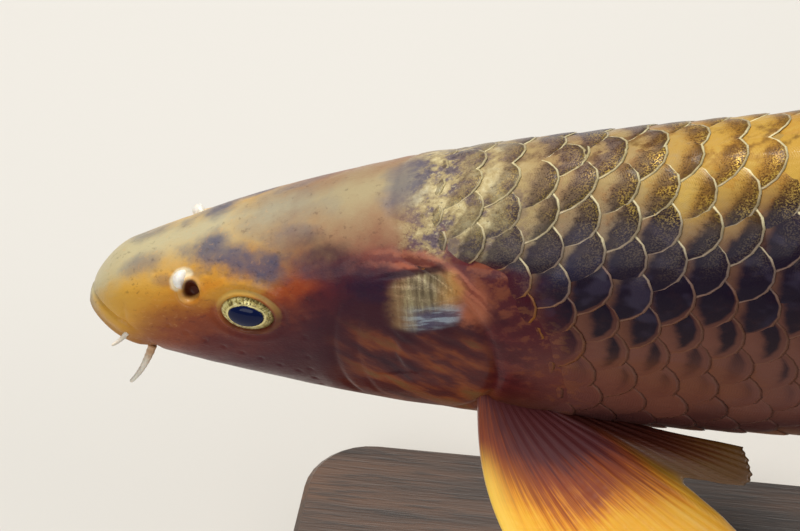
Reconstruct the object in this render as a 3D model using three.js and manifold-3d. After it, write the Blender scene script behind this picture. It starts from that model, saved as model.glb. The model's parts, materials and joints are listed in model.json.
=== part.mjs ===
// A life-size koi carp, swimming nose-down, held over a plinth by two rods.
// Millimetres, +Z up. The fish heads towards -X, its left side faces -Y, and the
// origin is the centre of the plinth's underside.
import * as THREE from "three";
import { ParametricGeometry } from "three/addons/geometries/ParametricGeometry.js";
import { mergeVertices } from "three/addons/utils/BufferGeometryUtils.js";
import Module from "manifold-3d";

const wasm = await Module();
wasm.setup();

// ---------------------------------------------------------------- driving dimensions
const standardLength = 460; // snout to the root of the tail fin
const headLength = 124; // snout to the rear edge of the gill cover
const noseRound = 14; // how far back the blunt snout takes to reach its full section
const tailRound = 9;
const gap = 0.3; // between solids that meet
const noseDown = THREE.MathUtils.degToRad(8);
const swimHeight = 160; // from the floor to the body's axis, over the plinth's centre
const balanceAlong = 200; // the station that stands over the plinth's centre
const bendFrom = 140; // the swimming bend starts here
const sway = 26;

// Distance along the body, height of the back, depth of the belly and half width.
const sections = [
  [0, 10.3, 9.8, 10.4],
  [12, 14.4, 13.5, 14.3],
  [28, 20.2, 18, 18.3],
  [48, 27, 23.6, 22.3],
  [72, 33.4, 30, 26.3],
  [98, 39.4, 35.8, 29.8],
  [124, 44.6, 40.4, 32],
  [160, 49.2, 45, 34],
  [196, 52.4, 49, 35],
  [230, 54.4, 52, 35.4],
  [270, 53, 50.8, 33.2],
  [315, 46, 44.4, 26.8],
  [360, 35.4, 34.6, 19],
  [400, 27.6, 27.2, 13.4],
  [430, 25, 25, 9.8],
  [460, 26, 26, 5.8],
];

const colours = {
  head: 0xc8832f,
  gillCover: 0xb98a4a,
  trunk: 0x5c4630,
  fin: 0xd9812c,
  eye: 0x15130f,
  barbel: 0xd8c7ab,
  wood: 0x3a2a20,
  steel: 0xa9acb0,
};

// ---------------------------------------------------------------- small helpers
const { clamp, lerp, smoothstep, degToRad } = THREE.MathUtils;

/** A smooth curve through one column of the sections, as a function of the distance along. */
function through(column) {
  const slope = (i) => {
    const before = sections[Math.max(i - 1, 0)];
    const after = sections[Math.min(i + 1, sections.length - 1)];
    return (after[column] - before[column]) / (after[0] - before[0]);
  };
  return (along) => {
    const x = clamp(along, 0, standardLength);
    const next = sections.findIndex((row, i) => i > 0 && x <= row[0]);
    const [from, to] = [sections[next - 1], sections[next]];
    const span = to[0] - from[0];
    const t = (x - from[0]) / span;
    const rise = t * t * (3 - 2 * t);
    return (
      lerp(from[column], to[column], rise) +
      span * slope(next - 1) * t * (1 - t) ** 2 -
      span * slope(next) * t * t * (1 - t)
    );
  };
}

const back = through(1);
const belly = through(2);
const halfWidth = through(3);

/** Height at which a section is widest: low on the head, at mid-height on the trunk. */
const widestLevel = (along) => lerp(-1, 3, smoothstep(along, 20, 160));

/** Squareness of a section above its widest level: 2 is an ellipse, more is boxier. */
const crown = (along) => lerp(2.45, 2.0, smoothstep(along, 40, 170));
const keel = 2.2;

/** The share of the full section that the rounded snout and tail stump leave at a station. */
function ending(along, grow) {
  const nose = clamp((along + grow) / (noseRound + grow), 0, 1);
  const tail = clamp((standardLength + grow - along) / (tailRound + grow), 0, 1);
  return Math.sqrt(1 - (1 - nose) ** 2) * Math.sqrt(1 - (1 - tail) ** 2);
}

/** A point on the body. turn runs from 0 on the back to pi under the belly, negative on the left. */
function bodyPoint(along, turn, grow = 0) {
  const up = Math.cos(turn) >= 0;
  const power = 2 / (up ? crown(along) : keel);
  const level = widestLevel(along);
  const reach = up ? back(along) - level : belly(along) + level;
  const share = ending(along, grow);
  const across = Math.sign(Math.sin(turn)) * Math.abs(Math.sin(turn)) ** power;
  const height = Math.sign(Math.cos(turn)) * Math.abs(Math.cos(turn)) ** power;
  return new THREE.Vector3(
    along,
    share * (halfWidth(along) + grow) * across,
    level + share * (reach + grow) * height,
  );
}

/** The swimming bend: carries a point of the straight fish to its place on the bent one. */
function swim(point) {
  const t = Math.max(0, (point.x - bendFrom) / (standardLength - bendFrom));
  const wave = Math.PI * t;
  const slope =
    (sway * t * (2 * Math.sin(wave) + wave * Math.cos(wave))) / (standardLength - bendFrom);
  const heading = Math.atan(slope);
  return point.set(
    point.x - point.y * Math.sin(heading),
    sway * t * t * Math.sin(wave) + point.y * Math.cos(heading),
    point.z,
  );
}

/** A three.js geometry as a manifold-3d solid, turned round if its faces point inwards. */
function solidOf(geometry, matrix = new THREE.Matrix4()) {
  const bare = new THREE.BufferGeometry();
  bare.setAttribute("position", geometry.getAttribute("position").clone());
  bare.setIndex(geometry.index);
  bare.applyMatrix4(matrix);
  const merged = mergeVertices(bare, 1e-3);
  const faces = (turned) => {
    const kept = [];
    for (let i = 0; i < merged.index.count; i += 3) {
      const [a, b, c] = [0, 1, 2].map((k) => merged.index.getX(i + k));
      if (a !== b && b !== c && c !== a) kept.push(a, ...(turned ? [c, b] : [b, c]));
    }
    return new Uint32Array(kept);
  };
  const made = (turned) =>
    new wasm.Manifold(
      new wasm.Mesh({
        numProp: 3,
        vertProperties: merged.attributes.position.array,
        triVerts: faces(turned),
      }),
    );
  const solid = made(false);
  return solid.volume() < 0 ? made(true) : solid;
}

/** A manifold-3d solid as a three.js geometry. */
function geometryOf(solid) {
  const mesh = solid.getMesh();
  const places = new Float32Array(mesh.numVert * 3);
  for (let i = 0; i < mesh.numVert; i++) {
    const at = i * mesh.numProp;
    places.set(mesh.vertProperties.subarray(at, at + 3), i * 3);
  }
  const geometry = new THREE.BufferGeometry();
  geometry.setAttribute("position", new THREE.BufferAttribute(places, 3));
  geometry.setIndex(new THREE.BufferAttribute(mesh.triVerts, 1));
  return geometry;
}

/** The same geometry on the bent fish. */
function bent(geometry) {
  const places = geometry.getAttribute("position");
  const point = new THREE.Vector3();
  for (let i = 0; i < places.count; i++) {
    swim(point.fromBufferAttribute(places, i));
    places.setXYZ(i, point.x, point.y, point.z);
  }
  return geometry;
}

function finish(name, geometry, colour, roughness = 0.45, metalness = 0) {
  geometry.computeVertexNormals();
  const material = new THREE.MeshStandardMaterial({ color: colour, roughness, metalness });
  const mesh = new THREE.Mesh(geometry, material);
  mesh.name = name;
  return mesh;
}

/** A closed solid from a surface function of two numbers from 0 to 1. */
function closed(surface, slices, stacks) {
  return solidOf(new ParametricGeometry(surface, slices, stacks));
}

/** A two-sided leaf round a middle surface: middle(u, w) is a point, half(u, w) its half thickness. */
function leaf(middle, half, columns, rows) {
  const around = 2 * rows + 2;
  const step = 0.01;
  const surface = (s, t, target) => {
    const column = Math.round(s * (columns + 2));
    const u = clamp((column - 1) / columns, 0, 1);
    const row = Math.round(t * around) % around;
    const front = row <= rows;
    const w = (front ? row : around - 1 - row) / rows;
    const capped = column === 0 || column === columns + 2;
    const alongU = middle(Math.min(u + step, 1), w).sub(middle(Math.max(u - step, 0), w));
    const alongW = middle(u, Math.min(w + step, 1)).sub(middle(u, Math.max(w - step, 0)));
    const normal = alongU.cross(alongW).normalize();
    const offset = capped ? 0 : half(u, w) * (front ? 1 : -1);
    target.copy(middle(u, w)).addScaledVector(normal, offset);
  };
  return closed(surface, columns + 2, around);
}

/** A tapered tube along a curve, closed at both ends. */
function taperedTube(curve, radiusAt, sides, steps) {
  const surface = (s, t, target) => {
    const ring = clamp(Math.round(s * (steps + 2)) - 1, 0, steps) / steps;
    const capped = s === 0 || s === 1;
    const forward = curve.getTangent(ring);
    const side = new THREE.Vector3(0, 0, 1).cross(forward).normalize();
    const other = forward.clone().cross(side);
    const turn = 2 * Math.PI * t;
    target
      .copy(curve.getPoint(ring))
      .addScaledVector(side, capped ? 0 : radiusAt(ring) * Math.cos(turn))
      .addScaledVector(other, capped ? 0 : radiusAt(ring) * Math.sin(turn));
  };
  return closed(surface, steps + 2, sides);
}

/** The solid that a side-view outline sweeps from left to right through the fish. */
function sideCut(shape, from = -100, to = 100) {
  const geometry = new THREE.ExtrudeGeometry(shape, {
    depth: to - from,
    bevelEnabled: false,
    curveSegments: 11,
  });
  const upright = new THREE.Matrix4().makeRotationX(Math.PI / 2);
  return solidOf(geometry, upright.premultiply(new THREE.Matrix4().makeTranslation(0, to, 0)));
}

// ---------------------------------------------------------------- body, whole
/** The body as one solid, everywhere grown outwards by the same amount. */
function wholeBody(grow = 0, slices = 44, stacks = 28) {
  return closed(
    (s, t, target) => {
      const eased = (2 * s ** 1.6 + 1 - Math.cos(Math.PI * s)) / 4;
      const along = lerp(-grow, standardLength + grow, eased);
      target.copy(bodyPoint(along, 2 * Math.PI * t, grow));
    },
    slices,
    stacks,
  );
}

const whole = wholeBody();
const clearance = wholeBody(gap);

// ---------------------------------------------------------------- parting lines
const tall = 90; // beyond the highest and lowest point of the body
const gillSweep = 73; // how far forwards the gill opening's line has swung at that height
const trunkCuts = [226, 348];
const gill = {
  along: 96,
  height: 1,
  radiusAlong: 27,
  radiusUp: 28,
  proud: 1.2,
  depth: 6,
  throat: 7, // half the width of the strip of throat between the two covers
};

/** Everything in front of, or behind, the curved line of the gill opening. */
function besideGill(inFront) {
  const edge = headLength + (inFront ? -gap / 2 : gap / 2);
  const outer = inFront ? -40 : standardLength + 40;
  const shape = new THREE.Shape();
  shape.moveTo(outer, gill.height - tall);
  shape.lineTo(edge - gillSweep, gill.height - tall);
  shape.quadraticCurveTo(edge + gillSweep, gill.height, edge - gillSweep, gill.height + tall);
  shape.lineTo(outer, gill.height + tall);
  return sideCut(shape);
}

function slab(from, to) {
  const box = new THREE.BoxGeometry(to - from - gap, 2 * tall, 2 * tall);
  return solidOf(box, new THREE.Matrix4().makeTranslation((from + to) / 2, 0, 0));
}

// ---------------------------------------------------------------- head
const mouth = { height: -4, slope: -0.4, end: 50 };
const eye = { along: 53, side: 19.6, height: 10, radius: 8.8, depth: 5.6, up: 16, ahead: 8 };

/** Below the slanting line of the closed mouth. */
function belowMouth(shift) {
  const line = (along) => mouth.height + mouth.slope * along + shift;
  const shape = new THREE.Shape();
  shape.moveTo(-20, line(-20));
  shape.lineTo(mouth.end, line(mouth.end));
  shape.lineTo(mouth.end, -tall);
  shape.lineTo(-20, -tall);
  return sideCut(shape);
}

/** The outline of a gill cover, right through the fish or through one side only. */
function gillOutline(side, spare) {
  const shape = new THREE.Shape();
  shape.absellipse(
    gill.along,
    gill.height,
    gill.radiusAlong + spare,
    gill.radiusUp + spare,
    0,
    2 * Math.PI,
  );
  const inner = gill.throat - spare;
  return side < 0 ? sideCut(shape, -100, -inner) : sideCut(shape, inner, 100);
}

function gillCover(side) {
  const core = wholeBody(-gill.depth, 26, 18);
  return wholeBody(gill.proud).intersect(gillOutline(side, 0)).subtract(core);
}

function eyeball(side, spare = 0) {
  const ball = new THREE.SphereGeometry(1, 14, 8);
  const size = new THREE.Vector3(eye.radius + spare, eye.depth + spare, eye.radius + spare);
  const turned = new THREE.Quaternion().setFromEuler(
    new THREE.Euler(side * degToRad(eye.up), 0, side * degToRad(eye.ahead)),
  );
  const place = new THREE.Vector3(eye.along, side * eye.side, eye.height);
  return solidOf(ball, new THREE.Matrix4().compose(place, turned, size));
}

function head() {
  const core = wholeBody(-gill.depth - gap, 26, 18);
  let solid = whole.intersect(besideGill(true)).subtract(belowMouth(0));
  for (const side of [-1, 1]) {
    solid = solid.subtract(gillOutline(side, gap).subtract(core));
    solid = solid.subtract(eyeball(side, gap));
  }
  return solid;
}

function lowerJaw() {
  return whole.intersect(besideGill(true)).intersect(belowMouth(-gap));
}

/** The upright flap of skin between the two openings of a nostril. */
function nostrilFlap(side) {
  const foot = bodyPoint(33, side * 0.74, -1);
  const up = new THREE.Vector3(0.25, side * 0.55, 0.8).normalize();
  const across = new THREE.Vector3(-0.25, side * 0.8, -0.5).normalize();
  const middle = (u, w) => {
    const spread = 2 * u - 1;
    return foot
      .clone()
      .addScaledVector(across, 2.6 * spread)
      .addScaledVector(up, w * (1.6 + 3.2 * Math.sqrt(1 - 0.9 * spread * spread)))
      .add(new THREE.Vector3(1.6 * spread * spread, 0, 0));
  };
  return leaf(middle, () => 0.5, 6, 3).subtract(clearance);
}

/** A feeler: root and tip in the straight fish's frame, bowed downwards between them. */
function barbel(root, tip, radius, side) {
  const place = ([x, y, z]) => new THREE.Vector3(x, side * y, z);
  const middle = place(root).lerp(place(tip), 0.5);
  middle.z -= 0.12 * place(root).distanceTo(place(tip));
  const curve = new THREE.CatmullRomCurve3([place(root), middle, place(tip)]);
  return taperedTube(curve, (t) => radius * (1 - 0.6 * t), 8, 7).subtract(clearance);
}

// ---------------------------------------------------------------- fins
/** Half thickness of a fin: thick at the root, thinner towards the tips of the rays. */
const finHalf = (root, edge) => (u, w) => lerp(root, edge, Math.sqrt(w));

/** A fan of rays from a root line to the tips; lift raises a ray along its length. */
function fan({ root, ray, length, lift = () => 0 }) {
  return (u, w) => {
    const along = ray(u).normalize().multiplyScalar(length(u) * w);
    along.z += lift(u, w);
    return root(u).add(along);
  };
}

const swept = (degrees, down = 1) =>
  new THREE.Vector3(Math.sin(degToRad(degrees)), 0, down * Math.cos(degToRad(degrees)));

const dorsal = fan({
  root: (u) => new THREE.Vector3(lerp(222, 380, u), 0, back(lerp(222, 380, u)) - 3),
  ray: (u) => swept(lerp(30, 56, Math.sqrt(u))),
  length: (u) => (26 + 38 * Math.exp(-u / 0.18)) * lerp(0.72, 1, smoothstep(u, 0, 0.06)),
});

const anal = fan({
  root: (u) => new THREE.Vector3(lerp(354, 394, u), 0, 3 - belly(lerp(354, 394, u))),
  ray: (u) => swept(lerp(34, 60, u), -1),
  length: (u) => (26 + 30 * Math.exp(-u / 0.4)) * lerp(0.8, 1, smoothstep(u, 0, 0.12)),
});

const pelvic = (side) =>
  fan({
    root: (u) => bodyPoint(lerp(222, 235, u), side * lerp(2.55, 2.72, u), -3),
    ray: (u) =>
      new THREE.Vector3(lerp(0.7, 0.94, u), side * lerp(0.5, 0.1, u), lerp(-0.5, -0.36, u)),
    length: (u) => 66 * (1 - 0.45 * u ** 1.4) * lerp(0.9, 1, smoothstep(u, 0, 0.12)),
  });

const pectoral = (side) =>
  fan({
    root: (u) => bodyPoint(lerp(115, 131, u), side * lerp(2.02, 2.38, u), -4),
    ray: (u) =>
      new THREE.Vector3(
        lerp(0.39, 0.97, u),
        side * lerp(0.77, 0.12, u ** 0.9),
        lerp(-0.43, -0.2, u ** 1.5),
      ),
    length: (u) =>
      lerp(94, 58, u ** 1.6) *
      lerp(0.88, 1, smoothstep(u, 0, 0.14)) *
      (1 - 0.3 * Math.exp(-(((u - 0.72) / 0.07) ** 2))),
    lift: (u, w) => 4 * Math.sin(Math.PI * u) * Math.sin(Math.PI * w),
  });

/** One lobe of the tail fin, its rays running between two shares of the way from top to bottom. */
const caudal = (from, to) => {
  const across = (u) => 1 - 2 * lerp(from, to, u); // 1 at the top edge, -1 at the bottom
  return fan({
    root: (u) => new THREE.Vector3(449, 0, 24 * across(u)),
    ray: (u) => {
      const slant = degToRad(37) * across(u);
      return new THREE.Vector3(Math.cos(slant), 0, Math.sin(slant));
    },
    length: (u) => {
      const off = Math.abs(across(u));
      return (56 + 60 * off ** 1.7) * lerp(1, 0.88, smoothstep(off, 0.78, 1));
    },
    lift: (u, w) => -15 * across(u) * w * w,
  });
};

const cutToBody = (solid) => solid.subtract(clearance);

// ---------------------------------------------------------------- display stand
const plinth = { length: 300, width: 130, height: 14, corner: 18, chamfer: 2 };
const rod = { radius: 4, flange: 11, flangeHeight: 4, saddle: 8, places: [-50, 64] };

function plinthBlock() {
  const [x, y, r] = [plinth.length / 2 - plinth.chamfer, plinth.width / 2 - plinth.chamfer, plinth.corner];
  const shape = new THREE.Shape();
  shape.moveTo(-x + r, -y);
  shape.lineTo(x - r, -y);
  shape.absarc(x - r, -y + r, r, -Math.PI / 2, 0);
  shape.lineTo(x, y - r);
  shape.absarc(x - r, y - r, r, 0, Math.PI / 2);
  shape.lineTo(-x + r, y);
  shape.absarc(-x + r, y - r, r, Math.PI / 2, Math.PI);
  shape.lineTo(-x, -y + r);
  shape.absarc(-x + r, -y + r, r, Math.PI, 1.5 * Math.PI);
  const block = new THREE.ExtrudeGeometry(shape, {
    depth: plinth.height - 2 * plinth.chamfer,
    bevelThickness: plinth.chamfer,
    bevelSize: plinth.chamfer,
    bevelSegments: 1,
    curveSegments: 4,
  });
  return block.translate(0, 0, plinth.chamfer);
}

/** A rod with a foot flange and a flared saddle, cut to the underside of the fish above it. */
function standRod(x, fishAbove) {
  const top = swimHeight;
  const profile = [
    [0, 0],
    [rod.flange, 0],
    [rod.flange, rod.flangeHeight - 1],
    [rod.flange - 1, rod.flangeHeight],
    [rod.radius, rod.flangeHeight],
    [rod.radius, top - plinth.height - 74 + x * Math.tan(noseDown)],
    [rod.saddle, top - plinth.height - 56 + x * Math.tan(noseDown)],
    [rod.saddle, top - plinth.height],
    [0, top - plinth.height],
  ].map(([r, z]) => new THREE.Vector2(r, z));
  const upright = new THREE.Matrix4().makeRotationX(Math.PI / 2);
  const place = new THREE.Matrix4().makeTranslation(x, 0, plinth.height);
  const turned = solidOf(new THREE.LatheGeometry(profile, 16), place.multiply(upright));
  const pieces = turned.subtract(fishAbove).decompose();
  return pieces.sort((a, b) => a.boundingBox().min[2] - b.boundingBox().min[2])[0];
}

// ---------------------------------------------------------------- assembly
const fish = new THREE.Group();
fish.rotation.y = -noseDown;
fish.position.z = swimHeight;
const body = new THREE.Group();
body.position.x = -balanceAlong;
fish.add(body);

const add = (name, solid, colour, roughness) =>
  body.add(finish(name, bent(geometryOf(solid)), colour, roughness));

add("head", head(), colours.head);
add("lower_jaw", lowerJaw(), colours.head);

const trunk = whole.intersect(besideGill(false));
const trunkEnds = [0, ...trunkCuts, standardLength + 20];
["trunk_front", "trunk_rear", "tail_stalk"].forEach((name, i) => {
  add(name, trunk.intersect(slab(trunkEnds[i], trunkEnds[i + 1])), colours.trunk, 0.4);
});

for (const [side, sideName] of [
  [-1, "left"],
  [1, "right"],
]) {
  add(`gill_cover_${sideName}`, gillCover(side), colours.gillCover, 0.35);
  add(`eye_${sideName}`, eyeball(side), colours.eye, 0.1);
  add(`nostril_flap_${sideName}`, nostrilFlap(side), colours.barbel);
  const short = barbel([12.5, 11, -5], [7.5, 18, -7], 1, side);
  add(`barbel_short_${sideName}`, short, colours.barbel);
  const long = barbel([18, 11, -11.5], [11, 17.5, -24], 1.3, side);
  add(`barbel_long_${sideName}`, long, colours.barbel);
  const pectoralFin = leaf(pectoral(side), finHalf(2.4, 0.45), 14, 5);
  add(`pectoral_fin_${sideName}`, cutToBody(pectoralFin), colours.fin);
  const pelvicFin = leaf(pelvic(side), finHalf(1.8, 0.4), 8, 5);
  add(`pelvic_fin_${sideName}`, cutToBody(pelvicFin), colours.fin);
}
add("dorsal_fin", cutToBody(leaf(dorsal, finHalf(1.6, 0.4), 16, 4)), colours.fin);
add("anal_fin", cutToBody(leaf(anal, finHalf(1.6, 0.4), 8, 4)), colours.fin);
const fork = 0.0008;
const upperLobe = leaf(caudal(0, 0.5 - fork), finHalf(2.4, 0.4), 9, 5);
add("tail_fin_upper", cutToBody(upperLobe), colours.fin);
const lowerLobe = leaf(caudal(0.5 + fork, 1), finHalf(2.4, 0.4), 9, 5);
add("tail_fin_lower", cutToBody(lowerLobe), colours.fin);

const koi = new THREE.Group();
koi.add(fish);
koi.updateMatrixWorld(true);
const fishAbove = solidOf(bent(geometryOf(clearance)), body.matrixWorld);
koi.add(finish("stand_plinth", plinthBlock(), colours.wood, 0.6));
rod.places.forEach((x, i) => {
  const name = `stand_rod_${["front", "rear"][i]}`;
  koi.add(finish(name, geometryOf(standRod(x, fishAbove)), colours.steel, 0.3, 1));
});

export default koi;
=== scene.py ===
"""A life-size koi carp on its display stand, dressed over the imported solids.

The straight fish is worked out in millimetres: x runs from the snout to the tail, y to the
fish's right and z to its back. A pose bends it, tips it nose-down and sets it into the frame,
which is in metres.
"""

from __future__ import annotations

import json
import logging
import math
from collections.abc import Callable, Sequence
from dataclasses import dataclass, field
from enum import Enum
from typing import Union

import bpy
import numpy as np
from mathutils import Euler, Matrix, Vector

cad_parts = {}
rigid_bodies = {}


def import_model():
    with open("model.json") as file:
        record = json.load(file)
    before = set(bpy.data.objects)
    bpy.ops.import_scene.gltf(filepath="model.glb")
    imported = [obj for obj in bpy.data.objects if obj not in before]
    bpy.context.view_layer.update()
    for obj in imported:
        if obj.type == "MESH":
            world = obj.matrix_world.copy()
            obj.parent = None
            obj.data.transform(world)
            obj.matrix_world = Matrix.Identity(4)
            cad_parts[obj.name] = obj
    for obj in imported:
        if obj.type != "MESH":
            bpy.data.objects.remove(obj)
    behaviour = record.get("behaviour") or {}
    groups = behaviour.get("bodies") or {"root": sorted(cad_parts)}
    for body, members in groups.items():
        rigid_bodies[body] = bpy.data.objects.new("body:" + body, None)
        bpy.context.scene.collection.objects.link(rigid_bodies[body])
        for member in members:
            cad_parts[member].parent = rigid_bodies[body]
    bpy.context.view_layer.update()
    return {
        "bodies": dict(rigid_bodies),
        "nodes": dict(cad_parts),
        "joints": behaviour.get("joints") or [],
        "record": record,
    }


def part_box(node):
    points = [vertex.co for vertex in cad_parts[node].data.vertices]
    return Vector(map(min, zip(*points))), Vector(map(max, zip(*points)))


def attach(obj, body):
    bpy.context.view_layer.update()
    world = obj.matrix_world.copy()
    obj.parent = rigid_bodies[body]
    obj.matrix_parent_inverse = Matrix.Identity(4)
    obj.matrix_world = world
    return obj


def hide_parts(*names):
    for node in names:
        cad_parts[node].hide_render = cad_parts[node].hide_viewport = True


LOG = logging.getLogger("koi")
MM = 0.001
PLACE_UNIT = 100.0  # millimetres to one unit of the attribute "place"

Array = np.ndarray
Field = Callable[[Array, Array], Array]
Colour = tuple[float, float, float, float]


class Side(Enum):
    """A side of the fish, with the sign that y has there."""

    LEFT = -1
    RIGHT = 1

    @property
    def word(self) -> str:
        """The side's name as the nodes spell it."""
        return self.name.lower()


# --------------------------------------------------------------------------- numbers
def lerp(start: float | Array, end: float | Array, share: float | Array) -> float | Array:
    """The straight blend start + (end - start) * share."""
    return start + (end - start) * share


def smooth(x: float | Array, low: float, high: float) -> Array:
    """The smooth step 3t^2 - 2t^3, where t runs from 0 at low to 1 at high."""
    t = np.clip((np.asarray(x, float) - low) / (high - low), 0.0, 1.0)
    return t * t * (3.0 - 2.0 * t)


def bell(x: float | Array, width: float) -> Array:
    """The bell curve exp(-(x / width)^2)."""
    return np.exp(-((np.asarray(x, float) / width) ** 2))


def signed_power(x: Array, power: float | Array) -> Array:
    """|x| to a power, with the sign of x."""
    return np.sign(x) * np.abs(x) ** power


def unit(vectors: Array) -> Array:
    """Vectors along the last axis, each divided by its length."""
    return vectors / np.maximum(np.linalg.norm(vectors, axis=-1, keepdims=True), 1e-12)


def grid_normals(points: Array) -> Array:
    """Unit normals of a grid of points: the cross product of its two directions."""
    return unit(np.cross(np.gradient(points, axis=0), np.gradient(points, axis=1)))


def rumple(x: Array, y: Array, seed: int, waves: int = 6) -> Array:
    """Gentle unevenness from -1 to 1: a mean of plane sine waves in seeded directions.

    Args:
        x: First coordinate, in units of the longest wave.
        y: Second coordinate, in the same units.
        seed: Picks the directions and phases.
        waves: How many waves are added.

    Returns:
        The height at each place.
    """
    rng = np.random.default_rng(seed)
    heading = rng.uniform(0, 2 * math.pi, waves)
    phase = rng.uniform(0, 2 * math.pi, waves)
    pace = 2 * math.pi * rng.uniform(1.0, 2.4, waves)
    total = np.zeros(np.broadcast(x, y).shape)
    for k in range(waves):
        total += np.sin(pace[k] * (x * math.cos(heading[k]) + y * math.sin(heading[k])) + phase[k])
    return total / waves


# --------------------------------------------------------------------------- body form
@dataclass(frozen=True)
class BodyForm:
    """The straight carp's body: a rounded section at every distance along its axis."""

    length: float = 460.0
    head: float = 124.0
    nose_round: float = 14.0
    tail_round: float = 9.0
    keel: float = 2.2
    crown: tuple[float, float] = (2.45, 2.0)
    level: tuple[float, float] = (-1.0, 3.0)
    first_scale: float = 106.5
    gill_centre: tuple[float, float] = (96.0, 1.0)
    gill_radii: tuple[float, float] = (27.0, 28.0)
    sections: tuple[tuple[float, float, float, float], ...] = (
        (0, 10.3, 9.8, 10.4),
        (12, 14.4, 13.5, 14.3),
        (28, 20.2, 18, 18.3),
        (48, 27, 23.6, 22.3),
        (72, 33.4, 30, 26.3),
        (98, 39.4, 35.8, 29.8),
        (124, 44.6, 40.4, 32),
        (160, 49.2, 45, 34),
        (196, 52.4, 49, 35),
        (230, 54.4, 52, 35.4),
        (270, 53, 50.8, 33.2),
        (315, 46, 44.4, 26.8),
        (360, 35.4, 34.6, 19),
        (400, 27.6, 27.2, 13.4),
        (430, 25, 25, 9.8),
        (460, 26, 26, 5.8),
    )

    def through(self, column: int, along: Array) -> Array:
        """A smooth curve through one column of the sections.

        A cubic joins each pair of stations, with the slope at a station taken from its
        two neighbours.

        Args:
            column: 1 for the back's height, 2 for the belly's depth, 3 for the half width.
            along: Distances from the snout.

        Returns:
            The column's value at each distance.
        """
        table = np.array(self.sections, float)
        x, value = table[:, 0], table[:, column]
        before = np.maximum(np.arange(len(x)) - 1, 0)
        after = np.minimum(np.arange(len(x)) + 1, len(x) - 1)
        slope = (value[after] - value[before]) / (x[after] - x[before])
        at = np.clip(along, 0.0, self.length)
        i = np.clip(np.searchsorted(x, at, side="right") - 1, 0, len(x) - 2)
        span = x[i + 1] - x[i]
        t = (at - x[i]) / span
        rise = t * t * (3 - 2 * t)
        start = span * slope[i] * t * (1 - t) ** 2
        stop = span * slope[i + 1] * t * t * (1 - t)
        return lerp(value[i], value[i + 1], rise) + start - stop

    def back(self, along: Array) -> Array:
        """Height of the back over the axis."""
        return self.through(1, along)

    def belly(self, along: Array) -> Array:
        """Depth of the belly under the axis."""
        return self.through(2, along)

    def ending(self, along: Array, grow: float | Array) -> Array:
        """The share of the full section left by the rounded snout and tail stump: a quarter circle each."""
        nose = np.clip((along + grow) / (self.nose_round + grow), 0, 1)
        tail = np.clip((self.length + grow - along) / (self.tail_round + grow), 0, 1)
        return np.sqrt(1 - (1 - nose) ** 2) * np.sqrt(1 - (1 - tail) ** 2)

    def point(self, along: Array, turn: Array, grow: float | Array = 0.0) -> Array:
        """Points of the body's surface.

        Each half of a section is a superellipse: y = half width * |sin|^p and
        z = level + reach * |cos|^p, squarer above on the head.

        Args:
            along: Distances from the snout.
            turn: Angles from the back, negative on the left, pi under the belly.
            grow: How far the section stands outside the body.

        Returns:
            An array with x, y, z along its last axis.
        """
        along, turn = np.broadcast_arrays(np.asarray(along, float), np.asarray(turn, float))
        up = np.cos(turn) >= 0
        crown = lerp(*self.crown, smooth(along, 40, 170))
        power = 2.0 / np.where(up, crown, self.keel)
        level = lerp(*self.level, smooth(along, 20, 160))
        reach = np.where(up, self.back(along) - level, self.belly(along) + level)
        share = self.ending(along, grow)
        y = share * (self.through(3, along) + grow) * signed_power(np.sin(turn), power)
        z = level + share * (reach + grow) * signed_power(np.cos(turn), power)
        return np.stack([along, y, z], axis=-1)

    def outward(self, along: Array, turn: Array, step: float, swing: float) -> Array:
        """Unit normals of the surface, from its slopes along and round the body.

        Args:
            along: Distances from the snout.
            turn: Angles from the back.
            step: How far along the slope is taken, either way.
            swing: How far round the slope is taken, either way.

        Returns:
            The normals, which point away from the axis.
        """
        down_body = self.point(along + step, turn) - self.point(along - step, turn)
        round_body = self.point(along, turn + swing) - self.point(along, turn - swing)
        normal = unit(np.cross(round_body, down_body))
        from_axis = self.point(along, turn) * np.array([0.0, 1.0, 1.0])
        return normal * np.sign(np.sum(normal * from_axis, -1, keepdims=True))

    def beyond_gill(self, along: Array, height: Array) -> Array:
        """Distance outside the gill cover's elliptic edge, negative on the cover."""
        (a0, z0), (ra, rz) = self.gill_centre, self.gill_radii
        level = np.hypot((along - a0) / ra, (height - z0) / rz)
        return (level - 1.0) * (ra + rz) / 2

    def scale_line(self, height: Array) -> Array:
        """Where the scales start: early on the nape, later behind the gill cover and the fin's root."""
        shoulder = 20.0 * smooth(height, 33.5, 27.0) + 9.0 * smooth(height, 26.0, 4.0)
        return self.first_scale + shoulder - 14.0 * smooth(height, -16.0, -33.0)


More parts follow.
